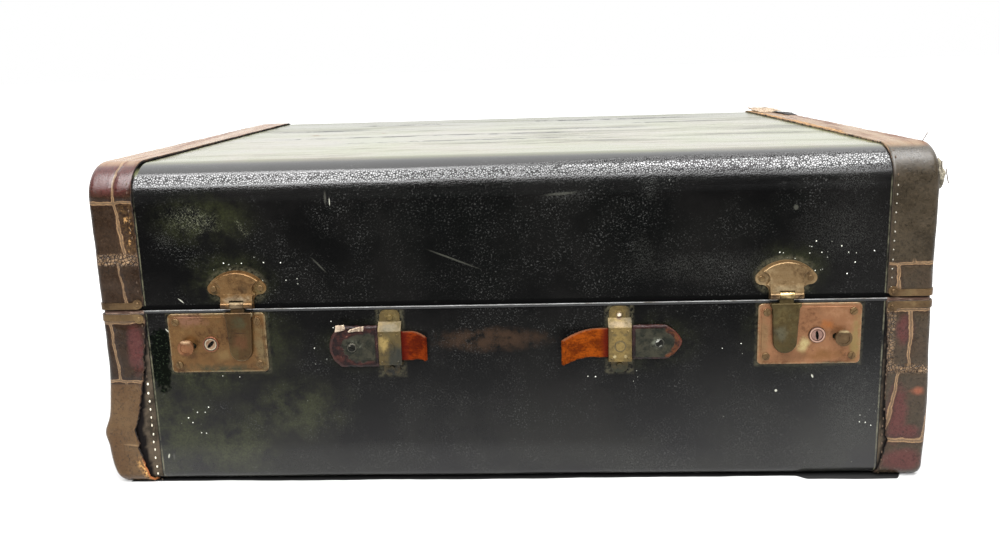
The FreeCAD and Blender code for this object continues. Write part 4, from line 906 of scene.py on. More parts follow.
def arc_middle(y_sign, z_sign, inset):
    """The radius and centre of one rounded corner of the outline at an inset."""
    full = roll_radius if z_sign > 0 else foot_radius
    radius = max(full - inset, min(inset, band_width) * window_corner / band_width)
    radius = min(radius, case_height / 2 - inset)
    centre = Vector((0, middle_y + y_sign * (half_depth - inset - radius),
                     case_height / 2 + z_sign * (case_height / 2 - inset - radius)))
    return radius, centre


def ring(inset, spacing):
    """The outline in the YZ plane, from the floor edge in front, up and over to the back and home."""
    arcs = []
    for y_sign, z_sign, start in ((-1, -1, 270), (-1, 1, 180), (1, 1, 90), (1, -1, 0)):
        radius, centre = arc_middle(y_sign, z_sign, inset)
        angles = [math.radians(start - 90 * step / arc_steps) for step in range(arc_steps + 1)]
        arcs.append([centre + Vector((0, math.cos(angle), math.sin(angle))) * radius for angle in angles])
    points = []
    for number, arc in enumerate(arcs):
        flat = case_height if number % 2 == 0 else 2 * half_depth
        count = round(flat / spacing)
        following = arcs[(number + 1) % 4][0]
        points += arc + [arc[-1].lerp(following, step / count) for step in range(1, count)]
    return points


def even_steps(start, end, spacing):
    """Evenly spaced values after start, up to and with end."""
    count = max(1, round(abs(end - start) / spacing))
    return [start + (end - start) * step / count for step in range(1, count + 1)]


def stations(x_start, inset, end_inset, spacing):
    """Where rings stand from x_start outwards: X, inset and distance across from the bands' inner edge."""
    core = half_width - end_radius
    tuck = end_radius - inset
    places = [(x, inset, x - band_edge) for x in [x_start] + even_steps(x_start, core, spacing)]
    for step in range(1, 6):
        angle = math.pi / 2 * step / 5
        places.append((core + tuck * math.sin(angle), inset + tuck * (1 - math.cos(angle)),
                       core - band_edge + tuck * angle))
    past = places[-1][2]
    places += [(core + tuck, depth, past + depth - end_radius)
               for depth in even_steps(end_radius, end_inset, spacing)]
    return places


def skin_of_rings(places, spacing):
    """A quad skin through rings at the given places, which run towards +X."""
    skin = bmesh.new()
    uv_layer = skin.loops.layers.uv.new("band")
    across_layer = skin.verts.layers.float.new("across")
    along_layer = skin.verts.layers.float.new("along")
    reference = ring(0.0, spacing)
    closed = reference + reference[:1]
    lengths = [foot_radius * (1 - math.pi / 2)]
    for first, second in zip(closed, closed[1:]):
        lengths.append(lengths[-1] + (second - first).length)
    rows = []
    for x, inset, across in places:
        row = []
        for number, point in enumerate(ring(inset, spacing)):
            vert = skin.verts.new((x, point.y, point.z))
            vert[across_layer] = across
            vert[along_layer] = lengths[number]
            row.append(vert)
        rows.append(row)
    count = len(reference)
    for number in range(len(rows) - 1):
        for step in range(count):
            following = (step + 1) % count
            face = skin.faces.new((rows[number][step], rows[number + 1][step],
                                   rows[number + 1][following], rows[number][following]))
            corners = ((number, step), (number + 1, step), (number + 1, step + 1), (number, step + 1))
            for loop, (station, mark) in zip(face.loops, corners):
                loop[uv_layer].uv = (places[station][2], lengths[mark])
    return skin


def mirrored_places(places):
    """The same stations on the left side, again running towards +X."""
    return [(-x, inset, across) for x, inset, across in reversed(places)]


def tidy_skin(skin):
    """Joins points that fell together and drops faces without area."""
    bmesh.ops.remove_doubles(skin, verts=skin.verts[:], dist=join_distance)
    bmesh.ops.dissolve_degenerate(skin, edges=skin.edges[:], dist=join_distance)
    skin.normal_update()


def keep_beyond(skin, point, direction):
    """Cuts a skin by a plane and keeps what lies ahead of it."""
    bmesh.ops.bisect_plane(skin, geom=skin.verts[:] + skin.edges[:] + skin.faces[:], plane_co=point,
                           plane_no=direction, clear_inner=True)


def keep_heights(skin, z_low, z_high):
    if z_low > 0:
        keep_beyond(skin, (0, 0, z_low), (0, 0, 1))
    if z_high < case_height:
        keep_beyond(skin, (0, 0, z_high), (0, 0, -1))


def new_object(name, data):
    made = bpy.data.objects.new(name, data)
    bpy.context.scene.collection.objects.link(made)
    return made


def place_piece(skin, name, body, materials):
    """Turns a bmesh into a smooth object that rides on a body."""
    mesh = bpy.data.meshes.new(name)
    skin.to_mesh(mesh)
    skin.free()
    piece = new_object(name, mesh)
    for material in materials:
        mesh.materials.append(material)
    mesh.polygons.foreach_set("use_smooth", [True] * len(mesh.polygons))
    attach(piece, body)
    print("%-26s %6d faces on %s" % (name, len(mesh.polygons), body))
    return piece


def thicken(piece, thickness, rim_material=0):
    """Gives a skin its wall, inwards from the drawn face."""
    wall = piece.modifiers.new("wall", "SOLIDIFY")
    wall.thickness = thickness
    wall.offset = -1.0
    wall.material_offset_rim = rim_material


# %% [markdown]
# ## The leathercloth covering
#
# Glued cloth is never dead flat. It swells a little, it creases where the lid was leaned on, and it rises
# along the bindings where it is tucked under. These are fractions of a millimetre, yet the top is seen so
# flatly that they draw every streak in its reflection. The relief is a function of the place, so that the
# lid and the base match at the seam.

# %% Relief of the cloth
cloth_spacing = 5 * mm
crease_width = 2.6
sag_x, sag_z = 225, 229
creases = [(-140, 120, 58, 0.35), (-60, 200, -92, 0.28), (30, 230, 131, 0.30), (-230, 60, 16, 0.22),
           (60, 150, -40, 0.25), (-180, 90, 110, 0.3), (140, 90, 30, 0.3)]


def cloth_relief(place, normal):
    """How far the cloth stands out at a place, in metres."""
    swell = 0.22 * noise.noise(place * 11.0) + 0.12 * noise.noise(place * 37.0)
    if normal.z > 0.9:
        for x, half_length, y, depth in creases:
            along = (place.x / mm - x) / half_length
            aside = (place.y / mm - y - 6 * noise.noise(Vector((place.x * 9, y, 0)))) / crease_width
            swell -= depth * math.exp(-along ** 4 - aside ** 2)
    from_x, from_z = (place.x / mm - sag_x) / 45, (place.z / mm - sag_z) / 5
    sag = math.exp(-from_x ** 2 - from_z ** 2) * max(0.0, -normal.y)
    calm = 0.35 if normal.y < -0.9 and place.z < seam_z else 1.0
    return (swell * calm + 0.9 * sag) * mm


def cover(name, body, z_low, z_high, node):
    half = stations(0.0, cloth_inset, case_height / 2, cloth_spacing)
    skin = skin_of_rings(mirrored_places(half)[:-1] + half, cloth_spacing)
    tidy_skin(skin)
    keep_heights(skin, z_low, z_high)
    skin.normal_update()
    moves = [(vert, vert.normal * cloth_relief(vert.co, vert.normal)) for vert in skin.verts]
    for vert, move in moves:
        vert.co += move
    piece = place_piece(skin, name, body, [black_cloth])
    thicken(piece, cloth_thickness)
    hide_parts(node)


cover("lid_leathercloth", "lid", lid_cloth_bottom, case_height, "lid_covering")
cover("base_leathercloth", "base", 0.0, base_cloth_top, "base_covering")

# %% [markdown]
# ## The leather bindings
#
# Each binding is a band of the same form at its full size. It wraps 33 mm of the front, top, back and bottom
# and as much of the end wall, and leaves a window there. The lower left band is torn: its inner edge has
# come away in a long bow, and the loose leather bulges at the foot. The edge is pulled back by moving each
# point near it to the tear's line, map and all, so that the grain is cut off and not squeezed.

# %% Tears, bulges and bands
band_spacing = 2.0 * mm
left_tear = [(0, 6.5), (8, 9.5), (26, 12.0), (45, 13.0), (69, 9.5), (90, 6.0), (110, 3.2), (126, 1.0),
             (132, 0.0)]
right_tear = [(0, 0.0), (3, 0.0), (14, 3.0), (29, 6.0), (46, 4.0), (68, 2.6), (90, 2.8), (118, 1.6),
              (134, 0.0)]


def between(points, place):
    """Straight-line reading of a list of (place, value) pairs."""
    for (low, first), (high, second) in zip(points, points[1:]):
        if low <= place <= high:
            return first + (second - first) * (place - low) / (high - low)
    return points[-1][1]


def tear_depth(points, z):
    height = z / mm
    depth = between(points, height)
    slow, quick = noise.noise(Vector((height * 0.12, 0, 3))), noise.noise(Vector((height * 0.45, 0, 7)))
    return max(0.0, depth + (1.1 * slow + 1.5 * quick) * min(1.0, depth / 4)) * mm


def pull_back(skin, sign, points):
    """Cuts the front inner edge of a band back to a tear."""
    across_layer = skin.verts.layers.float["across"]
    uv_layer = skin.loops.layers.uv["band"]
    for vert in skin.verts:
        if vert.co.y < middle_y - half_depth / 2 and vert.co.z < base_band_top:
            depth = tear_depth(points, vert.co.z)
            if vert[across_layer] < depth:
                vert.co.x = sign * (band_edge + depth)
                vert[across_layer] = depth
                for loop in vert.link_loops:
                    loop[uv_layer].uv.x = depth


front_joints = {"left": [33, 85, 131, 179, 222], "right": [30, 86, 131, 165, 236]}
drawn_lines = {"left": {85: (22.8, 27.2), 131: (10.2, 16.4), 179: (9.0, 13.0), 222: (13.2, 12.6)},
               "right": {30: (2.0, 11.4), 86: (18.0, 17.2), 131: (7.0, 7.0), -20: (90.0, 90.0)}}
first_row = -20
band_length = 1340
row_lengths = (40, 52)
first_line_range = (12, 19)
line_gap_range = (22, 30)


def tile_rows(side):
    """Rows of tiles along a band: start, end and its two upright lines, each as across at start and end."""
    dice = random.Random(side)
    starts = [first_row] + front_joints[side]
    while starts[-1] < band_length:
        starts.append(starts[-1] + dice.uniform(*row_lengths))
    rows = []
    for start, end in zip(starts, starts[1:]):
        first = drawn_lines[side].get(start) or [dice.uniform(*first_line_range) for end_of_row in (0, 1)]
        second = [across + dice.uniform(*line_gap_range) for across in first]
        rows.append((start * mm, end * mm, [(low * mm, high * mm) for low, high in (first, second)]))
    return rows


def tile_place(rows, across, along):
    """Row number with its share, and the distances past the row's two lines."""
    number = next((number for number, (start, end, lines) in enumerate(rows) if along < end), len(rows) - 1)
    start, end, lines = rows[number]
    share = (along - start) / (end - start)
    return number + share, [across - (low + (high - low) * share) for low, high in lines]


def map_tiles(skin, side):
    """Writes the tile maps of a band from its distances across and along."""
    rows = tile_rows(side)
    band_layer = skin.loops.layers.uv["band"]
    tiles_layer = skin.loops.layers.uv.new("tiles")
    more_layer = skin.loops.layers.uv.new("more")
    for face in skin.faces:
        for loop in face.loops:
            across, along = loop[band_layer].uv
            row, (first, second) = tile_place(rows, across, along)
            loop[tiles_layer].uv = (row, first)
            loop[more_layer].uv = (second, 0.0)


def shape_band(place, normal, across, side, part):
    """Small puckers, the curl at the torn edge and the bulges of loose leather on one band."""
    rise = 0.28 * noise.noise(place * 45) + 0.2 * noise.noise(place * 120)
    sideways = 0.0
    height = place.z / mm
    from_front = (place.y - front_y) / mm
    if side == "left" and part == "base":
        edge = across - tear_depth(left_tear, place.z)
        if normal.y < -0.5 and height < 130:
            curl = math.exp(-max(0.0, edge) / (2.5 * mm)) * min(1.0, between(left_tear, height) / 4)
            rise += curl * (1.0 + 0.8 * noise.noise(Vector((0, 0, place.z * 150))))
        loose = 0.55 * math.exp(-((height - 50) / 30) ** 2) + 0.32 * math.exp(-((height - 43) / 9) ** 2)
        loose += 0.60 * math.exp(-((height - 18) / 16) ** 2) + 0.30 * math.exp(-((height - 39) / 13) ** 2)
        sideways -= 8.6 * loose * math.exp(-max(0.0, from_front) / 45) * limited(across / mm / 30)
    if side == "right" and part == "base":
        loose = math.exp(-((height - 52) / 44) ** 2)
        sideways += 2.4 * loose * math.exp(-max(0.0, from_front) / 60) * limited(across / mm / 30)
    return normal * rise * mm + Vector((sideways * mm, 0, 0))


plain_above = 166 * mm
plain_below = 83.5 * mm
foot_worn_below = 24 * mm
crack_heights = {"left": 179 * mm, "right": 86 * mm}
crack_reach = {"left": 3.2, "right": 2.0}
crack_fade = 1.6


def band(side, part, z_low, z_high):
    places = stations(band_edge, 0.0, band_width, band_spacing)
    if side == "left":
        places = mirrored_places(places)
    skin = skin_of_rings(places, band_spacing)
    keep_heights(skin, z_low, z_high)
    if part == "base":
        pull_back(skin, sides[side], left_tear if side == "left" else right_tear)
    tidy_skin(skin)
    across_layer = skin.verts.layers.float["across"]
    along_layer = skin.verts.layers.float["along"]
    plain, raw, cracked = [skin.verts.layers.float.new(name) for name in ("plain", "raw", "cracked")]
    map_tiles(skin, side)
    moves = []
    for vert in skin.verts:
        across, along = vert[across_layer], vert[along_layer]
        if side == "right" and part == "lid":
            vert[plain] = limited((along - plain_above) / (2 * mm))
            if vert.normal.z > 0.5 and across < 8 * mm and vert.co.y > -0.12:
                worn = 1.25 + 0.8 * noise.noise(Vector((vert.co.y * 30, across * 200, 0)))
                worn *= min(1.0, (vert.co.y + 0.12) / 0.03)
                vert[raw] = limited((worn * 5.5 * mm - across) / (1.5 * mm))
        if side == "left" and part == "base":
            vert[plain] = limited((plain_below - along) / (2 * mm)) if along > 0 else 0.6
            edge = across - tear_depth(left_tear, vert.co.z)
            if vert.co.y < front_y + 8 * mm and vert.co.z < foot_worn_below:
                near_edge = (4.5 * mm - edge) / (2.5 * mm)
                vert[raw] = limited(min(near_edge, (foot_worn_below - vert.co.z) / (8 * mm)))
        if side == "left" and part == "lid" and 180 * mm < along < 221 * mm and across < 12.5 * mm:
            vert[raw] = 0.055
        from_crack = abs(along - crack_heights[side]) / mm
        vert[cracked] = limited((crack_reach[side] + crack_fade - from_crack) / crack_fade)
        if side == "right" and part == "base" and 88 * mm < along < 131 * mm and across < 7.5 * mm:
            vert[cracked] = 0.55
        moves.append((vert, shape_band(vert.co, vert.normal, across, side, part)))
    for vert, move in moves:
        vert.co += move
    piece = place_piece(skin, part + "_leather_" + side, part, [croc, cut_edge])
    thicken(piece, leather_thickness, rim_material=1)
    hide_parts(part + "_binding_" + side)


for side in sides:
    band(side, "base", 0.0, base_band_top)
    band(side, "lid", lid_band_bottom, case_height)

# %% [markdown]
# ## What the tears laid bare
#
# Under the torn edges lies a thin brown layer of old glue and leather fibre, still held by the stitches. It
# ends in a straight line where the band's edge used to be. Next to the torn edge it is painted black, as the
# shadow under the leather's edge.

# %% Glue strips under the torn bands
def bare_glue():
    paint = Finish("bare_glue")
    blotch = paint.noise(80.0, 6.0, 0.7)
    paint.colour = paint.tones(blotch, 0.35, 0.6, (0.018, 0.014, 0.009), (0.058, 0.044, 0.030))
    paint.lay(paint.patchy(300.0, 6.0, 0.8, 0.56, 0.70), (0.085, 0.060, 0.036))
    # Painted shadow: black along the torn edge.
    paint.lay(paint.attribute("gap"), (0.0015, 0.0006, 0.0006))
    return paint.finish(0.75, paint.bump(blotch, 0.8 * mm), Specular_IOR_Level=0.15)


glue_finish = bare_glue()
tears = {"left": left_tear, "right": right_tear}
for side, glue_width in (("left", 17 * mm), ("right", 9 * mm)):
    widths = [0.3 * mm] + even_steps(0.3 * mm, glue_width, 2 * mm)
    places = [(band_edge + across, 1.2 * mm, across) for across in widths]
    if side == "left":
        places = mirrored_places(places)
    strip = skin_of_rings(places, band_spacing)
    keep_heights(strip, foot_radius / 2, 128 * mm)
    keep_beyond(strip, (0, middle_y, 0), (0, -1, 0))
    tidy_skin(strip)
    across_layer = strip.verts.layers.float["across"]
    edge_shadow_layer = strip.verts.layers.float.new("gap")
    for vert in strip.verts:
        bared = tear_depth(tears[side], vert.co.z) - vert[across_layer]
        # How near the torn edge a point lies, for the painted shadow there.
        vert[edge_shadow_layer] = limited((2.8 * mm - bared) / (1.2 * mm))
        vert.co += vert.normal * 0.18 * noise.noise(vert.co * 160) * mm
    piece = place_piece(strip, "bare_glue_" + side, "base", [glue_finish])
    thicken(piece, glue_thickness)

# %% [markdown]
# ## Stitches
#
# A saddle stitch holds each band a few millimetres from its inner edge. Each stitch is a tiny capsule that
# lies on the leather. Most are dark with wax, and two runs have gone white.

# %% Stitch finishes and rows
def thread_finish(name, first, second):
    paint = Finish(name)
    paint.colour = paint.mix(paint.noise(300.0, 3.0), first, second)
    return paint.finish(0.75, paint.bump(paint.noise(2500.0, 2.0), 0.1 * mm))


white_thread = thread_finish("white_thread", (0.56, 0.50, 0.36), (0.80, 0.76, 0.64))
grey_thread = thread_finish("grey_thread", (0.12, 0.105, 0.080), (0.44, 0.42, 0.36))
brown_thread = thread_finish("brown_thread", (0.020, 0.010, 0.006), (0.105, 0.065, 0.036))
stitch_pitch = 6.7 * mm
stitch_length = 2.2 * mm
stitch_radius = 0.48 * mm
stitch_inset = 2.6 * mm
torn_stitch_inset = 4.2 * mm
lost_stitches = 0.12


def stitch_path(z_low, z_high):
    """Points and directions of the stitches round the whole outline."""
    outline = ring(0.0, band_spacing)
    outline.append(outline[0])
    places, left_over = [], 0.0
    for first, second in zip(outline, outline[1:]):
        run = second - first
        travelled = left_over
        while travelled < run.length:
            point = first + run.normalized() * travelled
            if z_low + 2 * mm < point.z < z_high - 2 * mm:
                places.append((point, run.normalized()))
            travelled += stitch_pitch
        left_over = travelled - run.length
    return places


def add_stitch(threads, centre, direction, material, girth=1.0, length=1.0):
    made = bmesh.ops.create_uvsphere(threads, u_segments=6, v_segments=4, radius=1.0)["verts"]
    turn = direction.to_track_quat("Z", "Y").to_matrix().to_4x4()
    size = Matrix.Diagonal((stitch_radius * girth, stitch_radius * girth, stitch_length / 2 * length, 1.0))
    bmesh.ops.transform(threads, matrix=Matrix.Translation(centre) @ turn @ size, verts=made)
    for face in {face for vert in made for face in vert.link_faces}:
        face.material_index = material


def stitches(side, part, z_low, z_high):
    sign = sides[side]
    threads = bmesh.new()
    dice = random.Random(side + part)
    for point, direction in stitch_path(z_low, z_high):
        front = point.y < front_y + 1 * mm
        white = front and side == "left" and part == "base" and point.z < 88 * mm
        grey = front and side == "right" and part == "lid" and point.z < 225 * mm
        across = stitch_inset
        if side == "left" and part == "base" and front and point.z < 115 * mm:
            across = torn_stitch_inset
            point = point + Vector((0, 1.0 * mm, 0))
        if dice.random() < lost_stitches and not (white or grey):
            continue
        shake = Vector((dice.uniform(-0.4, 0.4), 0, dice.uniform(-0.4, 0.4))) * mm
        girth = 1.0
        if white:
            girth = dice.uniform(1.2, 1.7) if point.z > 55 * mm else dice.uniform(1.0, 1.3)
        length = dice.uniform(0.45, 0.75) if grey else 1.0
        place = point + Vector((sign * (band_edge + across), 0, 0)) + shake
        add_stitch(threads, place, direction, 1 if white else 2 if grey else 0, girth, length)
    name = part + "_stitches_" + side
    place_piece(threads, name, part, [brown_thread, white_thread, grey_thread])


for side in sides:
    stitches(side, "base", 0.0, base_band_top)
    stitches(side, "lid", lid_band_bottom, case_height)

# %% [markdown]
# ## The torn handle ends
#
# The frame's handle ends are plain blocks. A voxel remesh turns a copy of each into an even mesh, which can
# then be roughened: the edges crumble, the faces dent, and a little of the skin curls. Attributes mark the
# edges and the tips for the finish.

# %% Remesh and roughen the handle ends
def remeshed_copy(node_name, voxel):
    """An even bmesh of a node's shape."""
    solid = bmesh.new()
    solid.from_mesh(nodes[node_name].data)
    bmesh.ops.remove_doubles(solid, verts=solid.verts[:], dist=0.001 * mm)
    mesh = bpy.data.meshes.new("scratch")
    solid.to_mesh(mesh)
    solid.free()
    scratch = new_object("scratch", mesh)
    remesh = scratch.modifiers.new("remesh", "REMESH")
    remesh.mode = "VOXEL"
    remesh.voxel_size = voxel
    seen = scratch.evaluated_get(bpy.context.evaluated_depsgraph_get())
    even = bmesh.new()
    even.from_mesh(seen.to_mesh())
    bpy.data.objects.remove(scratch)
    bpy.data.meshes.remove(mesh)
    return even


voxel_size = 0.75 * mm
tip_strength = {"left": 0.25, "right": 0.9}
loop_reach = 9 * mm
tip_length = 14 * mm
strap_middle = 109.5 * mm


def torn_leather(side):
    even = remeshed_copy("handle_stub_" + side, voxel_size)
    for pass_number in range(2):
        bmesh.ops.smooth_vert(even, verts=even.verts[:], factor=0.5, use_axis_x=True, use_axis_y=True,
                              use_axis_z=True)
    even.normal_update()
    low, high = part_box("handle_stub_" + side)
    edge_layer = even.verts.layers.float.new("edge")
    tip_layer = even.verts.layers.float.new("tip")
    for vert in even.verts:
        place, normal = vert.co.copy(), vert.normal.copy()
        inward = (place.x - loop_places[side]) * -sides[side]
        rough = 0.25 * noise.noise(place * 130) + 0.18 * noise.noise(place * 420)
        torn = 0.0
        if inward < -loop_reach:
            rim = abs(normal.z) if normal.y > -0.8 else 0.0
            torn = -1.1 * abs(noise.noise(place * 190)) * rim
            if side == "right":
                beyond = max(0.0, (place.x - high.x + 13 * mm) / (13 * mm))
                vert.co.z -= (place.z - strap_middle) * 0.42 * beyond ** 1.5
            from_tip = place.x - low.x if side == "left" else high.x - place.x
            tip_reach = tip_length - from_tip
            vert[tip_layer] = limited(tip_reach / (10 * mm)) * tip_strength[side]
        if inward > loop_reach:
            vert[edge_layer] = 0.8 * limited((abs(normal.z) - 0.5) * 3)
        if abs(inward) > loop_reach:
            vert.co += normal * (rough + torn) * mm * (1.0 if inward < 0 else 0.6)
    piece = place_piece(even, "handle_end_" + side, "handle_" + side, [handle_finishes[side]])
    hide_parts("handle_stub_" + side)


for side in sides:
    torn_leather(side)

# %% [markdown]
# ## Frayed bits
#
# These are the small things that stand off the case: the lump of fibre where the right front top corner has
# worn through, two loose threads beside it, the leather flap lifted at the back of the same band, the open
# edge before it, laid as a black sheet of painted shade, and two flakes of skin curled up over the left
# handle tab. The flakes ride on the left handle, and the rest on the lid.

# %% Corner fray, threads, flap and flakes
def fibre_finish(name, dark, pale):
    paint = Finish(name)
    strands = paint.grain((420.0, 420.0, 140.0), 6.0, 0.75, warp=0.8)
    paint.colour = paint.tones(strands, 0.38, 0.62, dark, pale)
    return paint.finish(0.8, paint.bump(strands, 0.6 * mm))


grey_fibre = fibre_finish("grey_fibre", (0.030, 0.022, 0.014), (0.25, 0.225, 0.165))
pale_leather = fibre_finish("pale_leather", (0.10, 0.055, 0.030), (0.55, 0.44, 0.32))
# A near-black finish, for the painted shade in the open edge.
gap_shade_finish = fibre_finish("gap_shade_finish", (0.002, 0.002, 0.002), (0.012, 0.008, 0.006))


def corner_fray():
    lump = bmesh.new()
    bmesh.ops.create_icosphere(lump, subdivisions=4, radius=1.0)
    for vert in lump.verts:
        place = vert.co.copy()
        rough = 1 + 0.30 * noise.noise(place * 1.7) + 0.22 * noise.noise(place * 4.5)
        narrow = 0.62 + 0.38 * math.cos(place.z * 1.25)
        vert.co = Vector((305.6 + place.x * 4.0 * narrow * rough - 1.2 * place.z,
                          front_y / mm + 7.5 + place.y * 6.0 * rough, 228.5 + place.z * 10.0 * rough)) * mm
    place_piece(lump, "corner_fray", "lid", [grey_fibre])


def thread(name, points, thickness):
    """A thin round strand through points, on the lid."""
    strand = bmesh.new()
    rings = []
    for number, point in enumerate(points):
        ahead = points[min(number + 1, len(points) - 1)] - points[max(number - 1, 0)]
        turn = ahead.to_track_quat("Z", "Y")
        circle = [turn @ Vector((math.cos(angle), math.sin(angle), 0)) * thickness
                  for angle in (math.tau * step / 6 for step in range(6))]
        rings.append([strand.verts.new(point + offset) for offset in circle])
    for first, second in zip(rings, rings[1:]):
        for step in range(6):
            following = (step + 1) % 6
            strand.faces.new((first[step], first[following], second[following], second[step]))
    strand.faces.new(reversed(rings[0]))
    strand.faces.new(rings[-1])
    place_piece(strand, name, "lid", [brown_thread])


def patch(name, body, corners, steps, lift, thickness, material):
    """A thin sheet between four corners, bent by a lift function of its two shares."""
    sheet = bmesh.new()
    near_left, near_right, far_right, far_left = [Vector(corner) * mm for corner in corners]
    rows = []
    for row in range(steps + 1):
        line = []
        for column in range(steps + 1):
            u, v = column / steps, row / steps
            point = near_left.lerp(near_right, u).lerp(far_left.lerp(far_right, u), v)
            rough = Vector([noise.noise(point * scale) for scale in (260, 270, 250)]) * 0.7 * mm
            line.append(sheet.verts.new(point + Vector(lift(u, v)) * mm + rough))
        rows.append(line)
    for first, second in zip(rows, rows[1:]):
        for step in range(steps):
            sheet.faces.new((first[step], first[step + 1], second[step + 1], second[step]))
    piece = place_piece(sheet, name, body, [material])
    thicken(piece, thickness)


corner_fray()
standing = [Vector((298.5 + 0.9 * step, front_y / mm + 22, 245 + 2.1 * step - 0.05 * step * step)) * mm
            for step in range(7)]
hanging = [Vector((309.5 + 0.4 * step, front_y / mm + 4, 232 - 1.8 * step)) * mm for step in range(7)]
thread("loose_thread", standing, 0.3 * mm)
thread("loose_thread_low", hanging, 0.35 * mm)
patch("lifted_flap", "lid", [(276, 148, 250.6), (301, 152, 250.6), (300, 202, 250.0), (277, 202, 250.0)],
      12, lambda u, v: (0, 0, 0.3 + 1.5 * (1 - v) * u ** 2 + 2.6 * v ** 1.4 * (1 - 0.25 * u)), 0.9 * mm,
      pale_leather)
# Painted shade: a black sheet on the open edge, as the shadow under the opened leather.
patch("open_edge_shade", "lid", [(292, 98, 250.5), (301.5, 98, 250.2), (302.5, 150, 250.4), (290, 150, 250.7)], 8,
      lambda u, v: (0, 0, 0.9 * math.sin(math.pi * v)), 0.8 * mm, gap_shade_finish)
patch("tab_flake_outer", "handle_left",
      [(-128, -213.5, 123), (-120, -213.8, 124), (-120.5, -215.5, 129), (-127, -215, 128)], 6,
      lambda u, v: (0, -1.2 * v, 0.4 * u), 0.7 * mm, pale_leather)
patch("tab_flake_inner", "handle_left",
      [(-118, -213.5, 122.5), (-107, -213.8, 122.5), (-106, -215, 127), (-116, -214.6, 125)], 6,
      lambda u, v: (0, -1.0 * v, 0.6 * u), 0.7 * mm, pale_leather)

# %% [markdown]
# ## Floor, light and camera
#
# The case stands on a pale floor in a white room. The leathercloth is glossy, so what it mirrors matters more
# than what lights it: the top mirrors the white wall behind, the rolled front edge mirrors a wide window high
# in front, and the front panels mirror the floor, which is bright near the case and falls into shade behind
# the camera. The camera's place and aim were worked out from the corners of the case, and are given here as
# numbers.

# %% Floor
def pale_floor():
    paint = Finish("pale_floor")
    x, y = paint.split()[:2]
    away = paint.most(abs(x) - half_width, abs(y) - half_depth)
    # Painted shadow: the floor is laid nearly black in a thin, wavy band of varying width round the case's
    # bottom edge, as the contact shadow.
    uneven = (paint.noise(12.0, 3.0) - 0.5) * (5 * mm)
    reach = paint.step(x, 0.213, 0.222, 5.2 * mm, 0.4 * mm)
    reach = reach + paint.step(x, 0.286, 0.297, 0.0, 14 * mm)
    reach = paint.most(reach, paint.step(y, -0.15, -0.05, 0.0, 5.2 * mm))
    clear_of_shadow = paint.step(away + reach + uneven, -0.6 * mm, 0.6 * mm)
    paint.put(paint.shader.inputs["Base Color"], paint.mix(clear_of_shadow, (0.003, 0.003, 0.003), (0.52, 0.52, 0.52)))
    paint.put(paint.shader.inputs["Roughness"], 0.9)
    paths = paint.add("ShaderNodeLightPath")
    glow = paint.add("ShaderNodeEmission")
    # For the camera the floor also glows, least next to the case, so a soft painted shade lies round it.
    strength = paint.step(away, 0.0, 0.10, 0.05, 0.42) + paint.step(away, 0.10, 0.9, 0.0, 0.58)
    strength = paint.out(paths, "Is Camera Ray") * (strength * clear_of_shadow)
    paint.fill(glow.inputs, ((1.0, 1.0, 1.0), strength))
    both = paint.join_shaders("ShaderNodeAddShader", paint.out(paint.shader), paint.out(glow))
    far_mirrored = paint.out(paths, "Is Glossy Ray") * paint.step(y, -0.35, -0.85)
    dark = paint.matt((0.05, 0.05, 0.05))
    paint.surface(paint.join_shaders("ShaderNodeMixShader", far_mirrored, both, dark))
    return paint.material


floor_size = 30.0
plane = bmesh.new()
bmesh.ops.create_grid(plane, x_segments=1, y_segments=1, size=floor_size)
floor_mesh = bpy.data.meshes.new("floor")
plane.to_mesh(floor_mesh)
plane.free()
floor_mesh.materials.append(pale_floor())
floor = new_object("floor", floor_mesh)
print("floor ready")

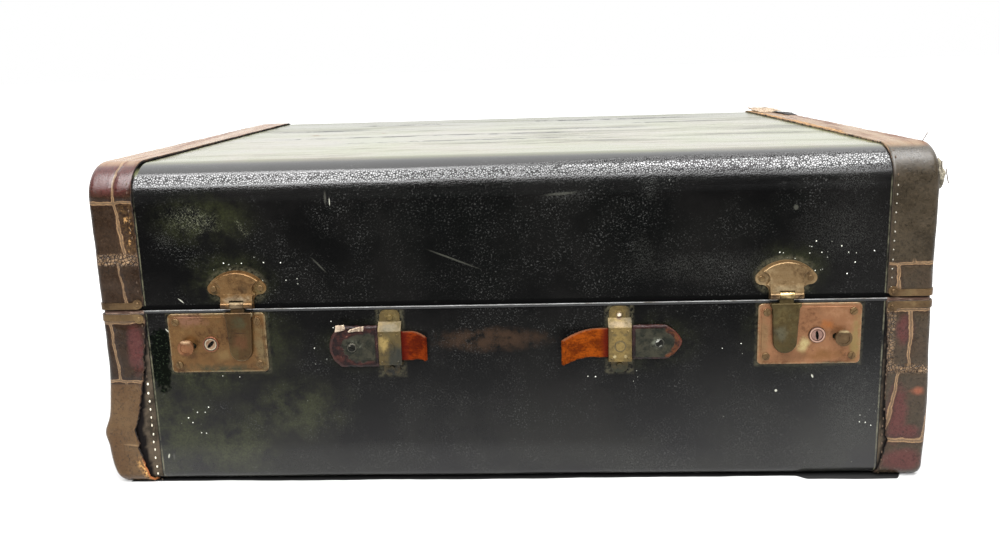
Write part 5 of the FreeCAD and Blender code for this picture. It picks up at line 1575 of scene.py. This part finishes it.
# %% World
world = bpy.data.worlds.new("white_room")
bpy.context.scene.world = world
world.use_nodes = True
room = Wiring(world.node_tree, "Generated")
back, up = room.split()[1:]
paths = room.add("ShaderNodeLightPath")
wall_behind = room.step(up, 0.25, 0.80, 1.50, 2.2)
wall_in_front = room.step(up, 0.55, 0.95, 0.08, 2.0)
mirrored = room.blend(room.step(back, -0.25, 0.35), wall_in_front, wall_behind)
unseen = room.blend(room.out(paths, "Is Glossy Ray"), 0.45, mirrored)
brightness = room.blend(room.out(paths, "Is Camera Ray"), unseen, 1.0)
room.fill(room.tree.nodes["Background"].inputs, ((1.0, 1.0, 1.0), brightness))
print("world ready")

# %% Lights
def soft_light(name, place, target, width, height, power, turn=0.0, mirrored=True):
    lamp = bpy.data.lights.new(name, "AREA")
    lamp.shape = "RECTANGLE"
    lamp.size, lamp.size_y, lamp.energy = width, height, power
    holder = new_object(name, lamp)
    holder.location = place
    aim = (Vector(target) - Vector(place)).to_track_quat("-Z", "Y").to_matrix()
    holder.rotation_euler = (aim @ Matrix.Rotation(math.radians(turn), 3, "Z")).to_euler()
    holder.visible_glossy = mirrored


soft_light("left_window", (-0.93, -1.35, 1.88), (-0.93, -0.2, 0.24), 1.15, 1.75, 70)
soft_light("middle_window", (0.075, -1.25, 1.95), (0.075, -0.2, 0.24), 0.85, 1.6, 30)
soft_light("ceiling_light", (0.95, -0.70, 2.16), (0.95, -0.2, 0.24), 1.28, 1.15, 52, turn=35)
soft_light("pale_screen", (1.05, -1.45, 1.70), (1.05, -0.2, 0.24), 1.1, 1.3, 8)
soft_light("front_fill", (0.7, -1.9, 1.2), (0.1, -0.2, 0.15), 1.5, 1.0, 35, mirrored=False)
print("lights ready")

# %% Camera
focal_pixels = 808.43
photo_width = 1000
photo_height = 558
axis_row = 215
sensor = 36.0
camera_data = bpy.data.cameras.new("camera")
camera_data.sensor_width = sensor
camera_data.lens = focal_pixels * sensor / photo_width
camera_data.shift_y = (axis_row - photo_height / 2) / photo_width
camera = new_object("camera", camera_data)
yaw, pitch, roll = (math.radians(angle) for angle in (2.4761, -10.6982, 1.7356))
aim = Matrix.Rotation(yaw, 4, "Z") @ Matrix.Rotation(pitch, 4, "X") @ Matrix.Rotation(roll, 4, "Y")
stand = Vector((20.6, -570.04, 314.33)) * mm + Vector((0, front_y, 0))
camera.matrix_world = Matrix.Translation(stand) @ aim @ Matrix.Rotation(math.pi / 2, 4, "X")
bpy.context.scene.camera = camera
bpy.context.scene.view_settings.view_transform = "Standard"
print("camera at", [round(value, 3) for value in stand])
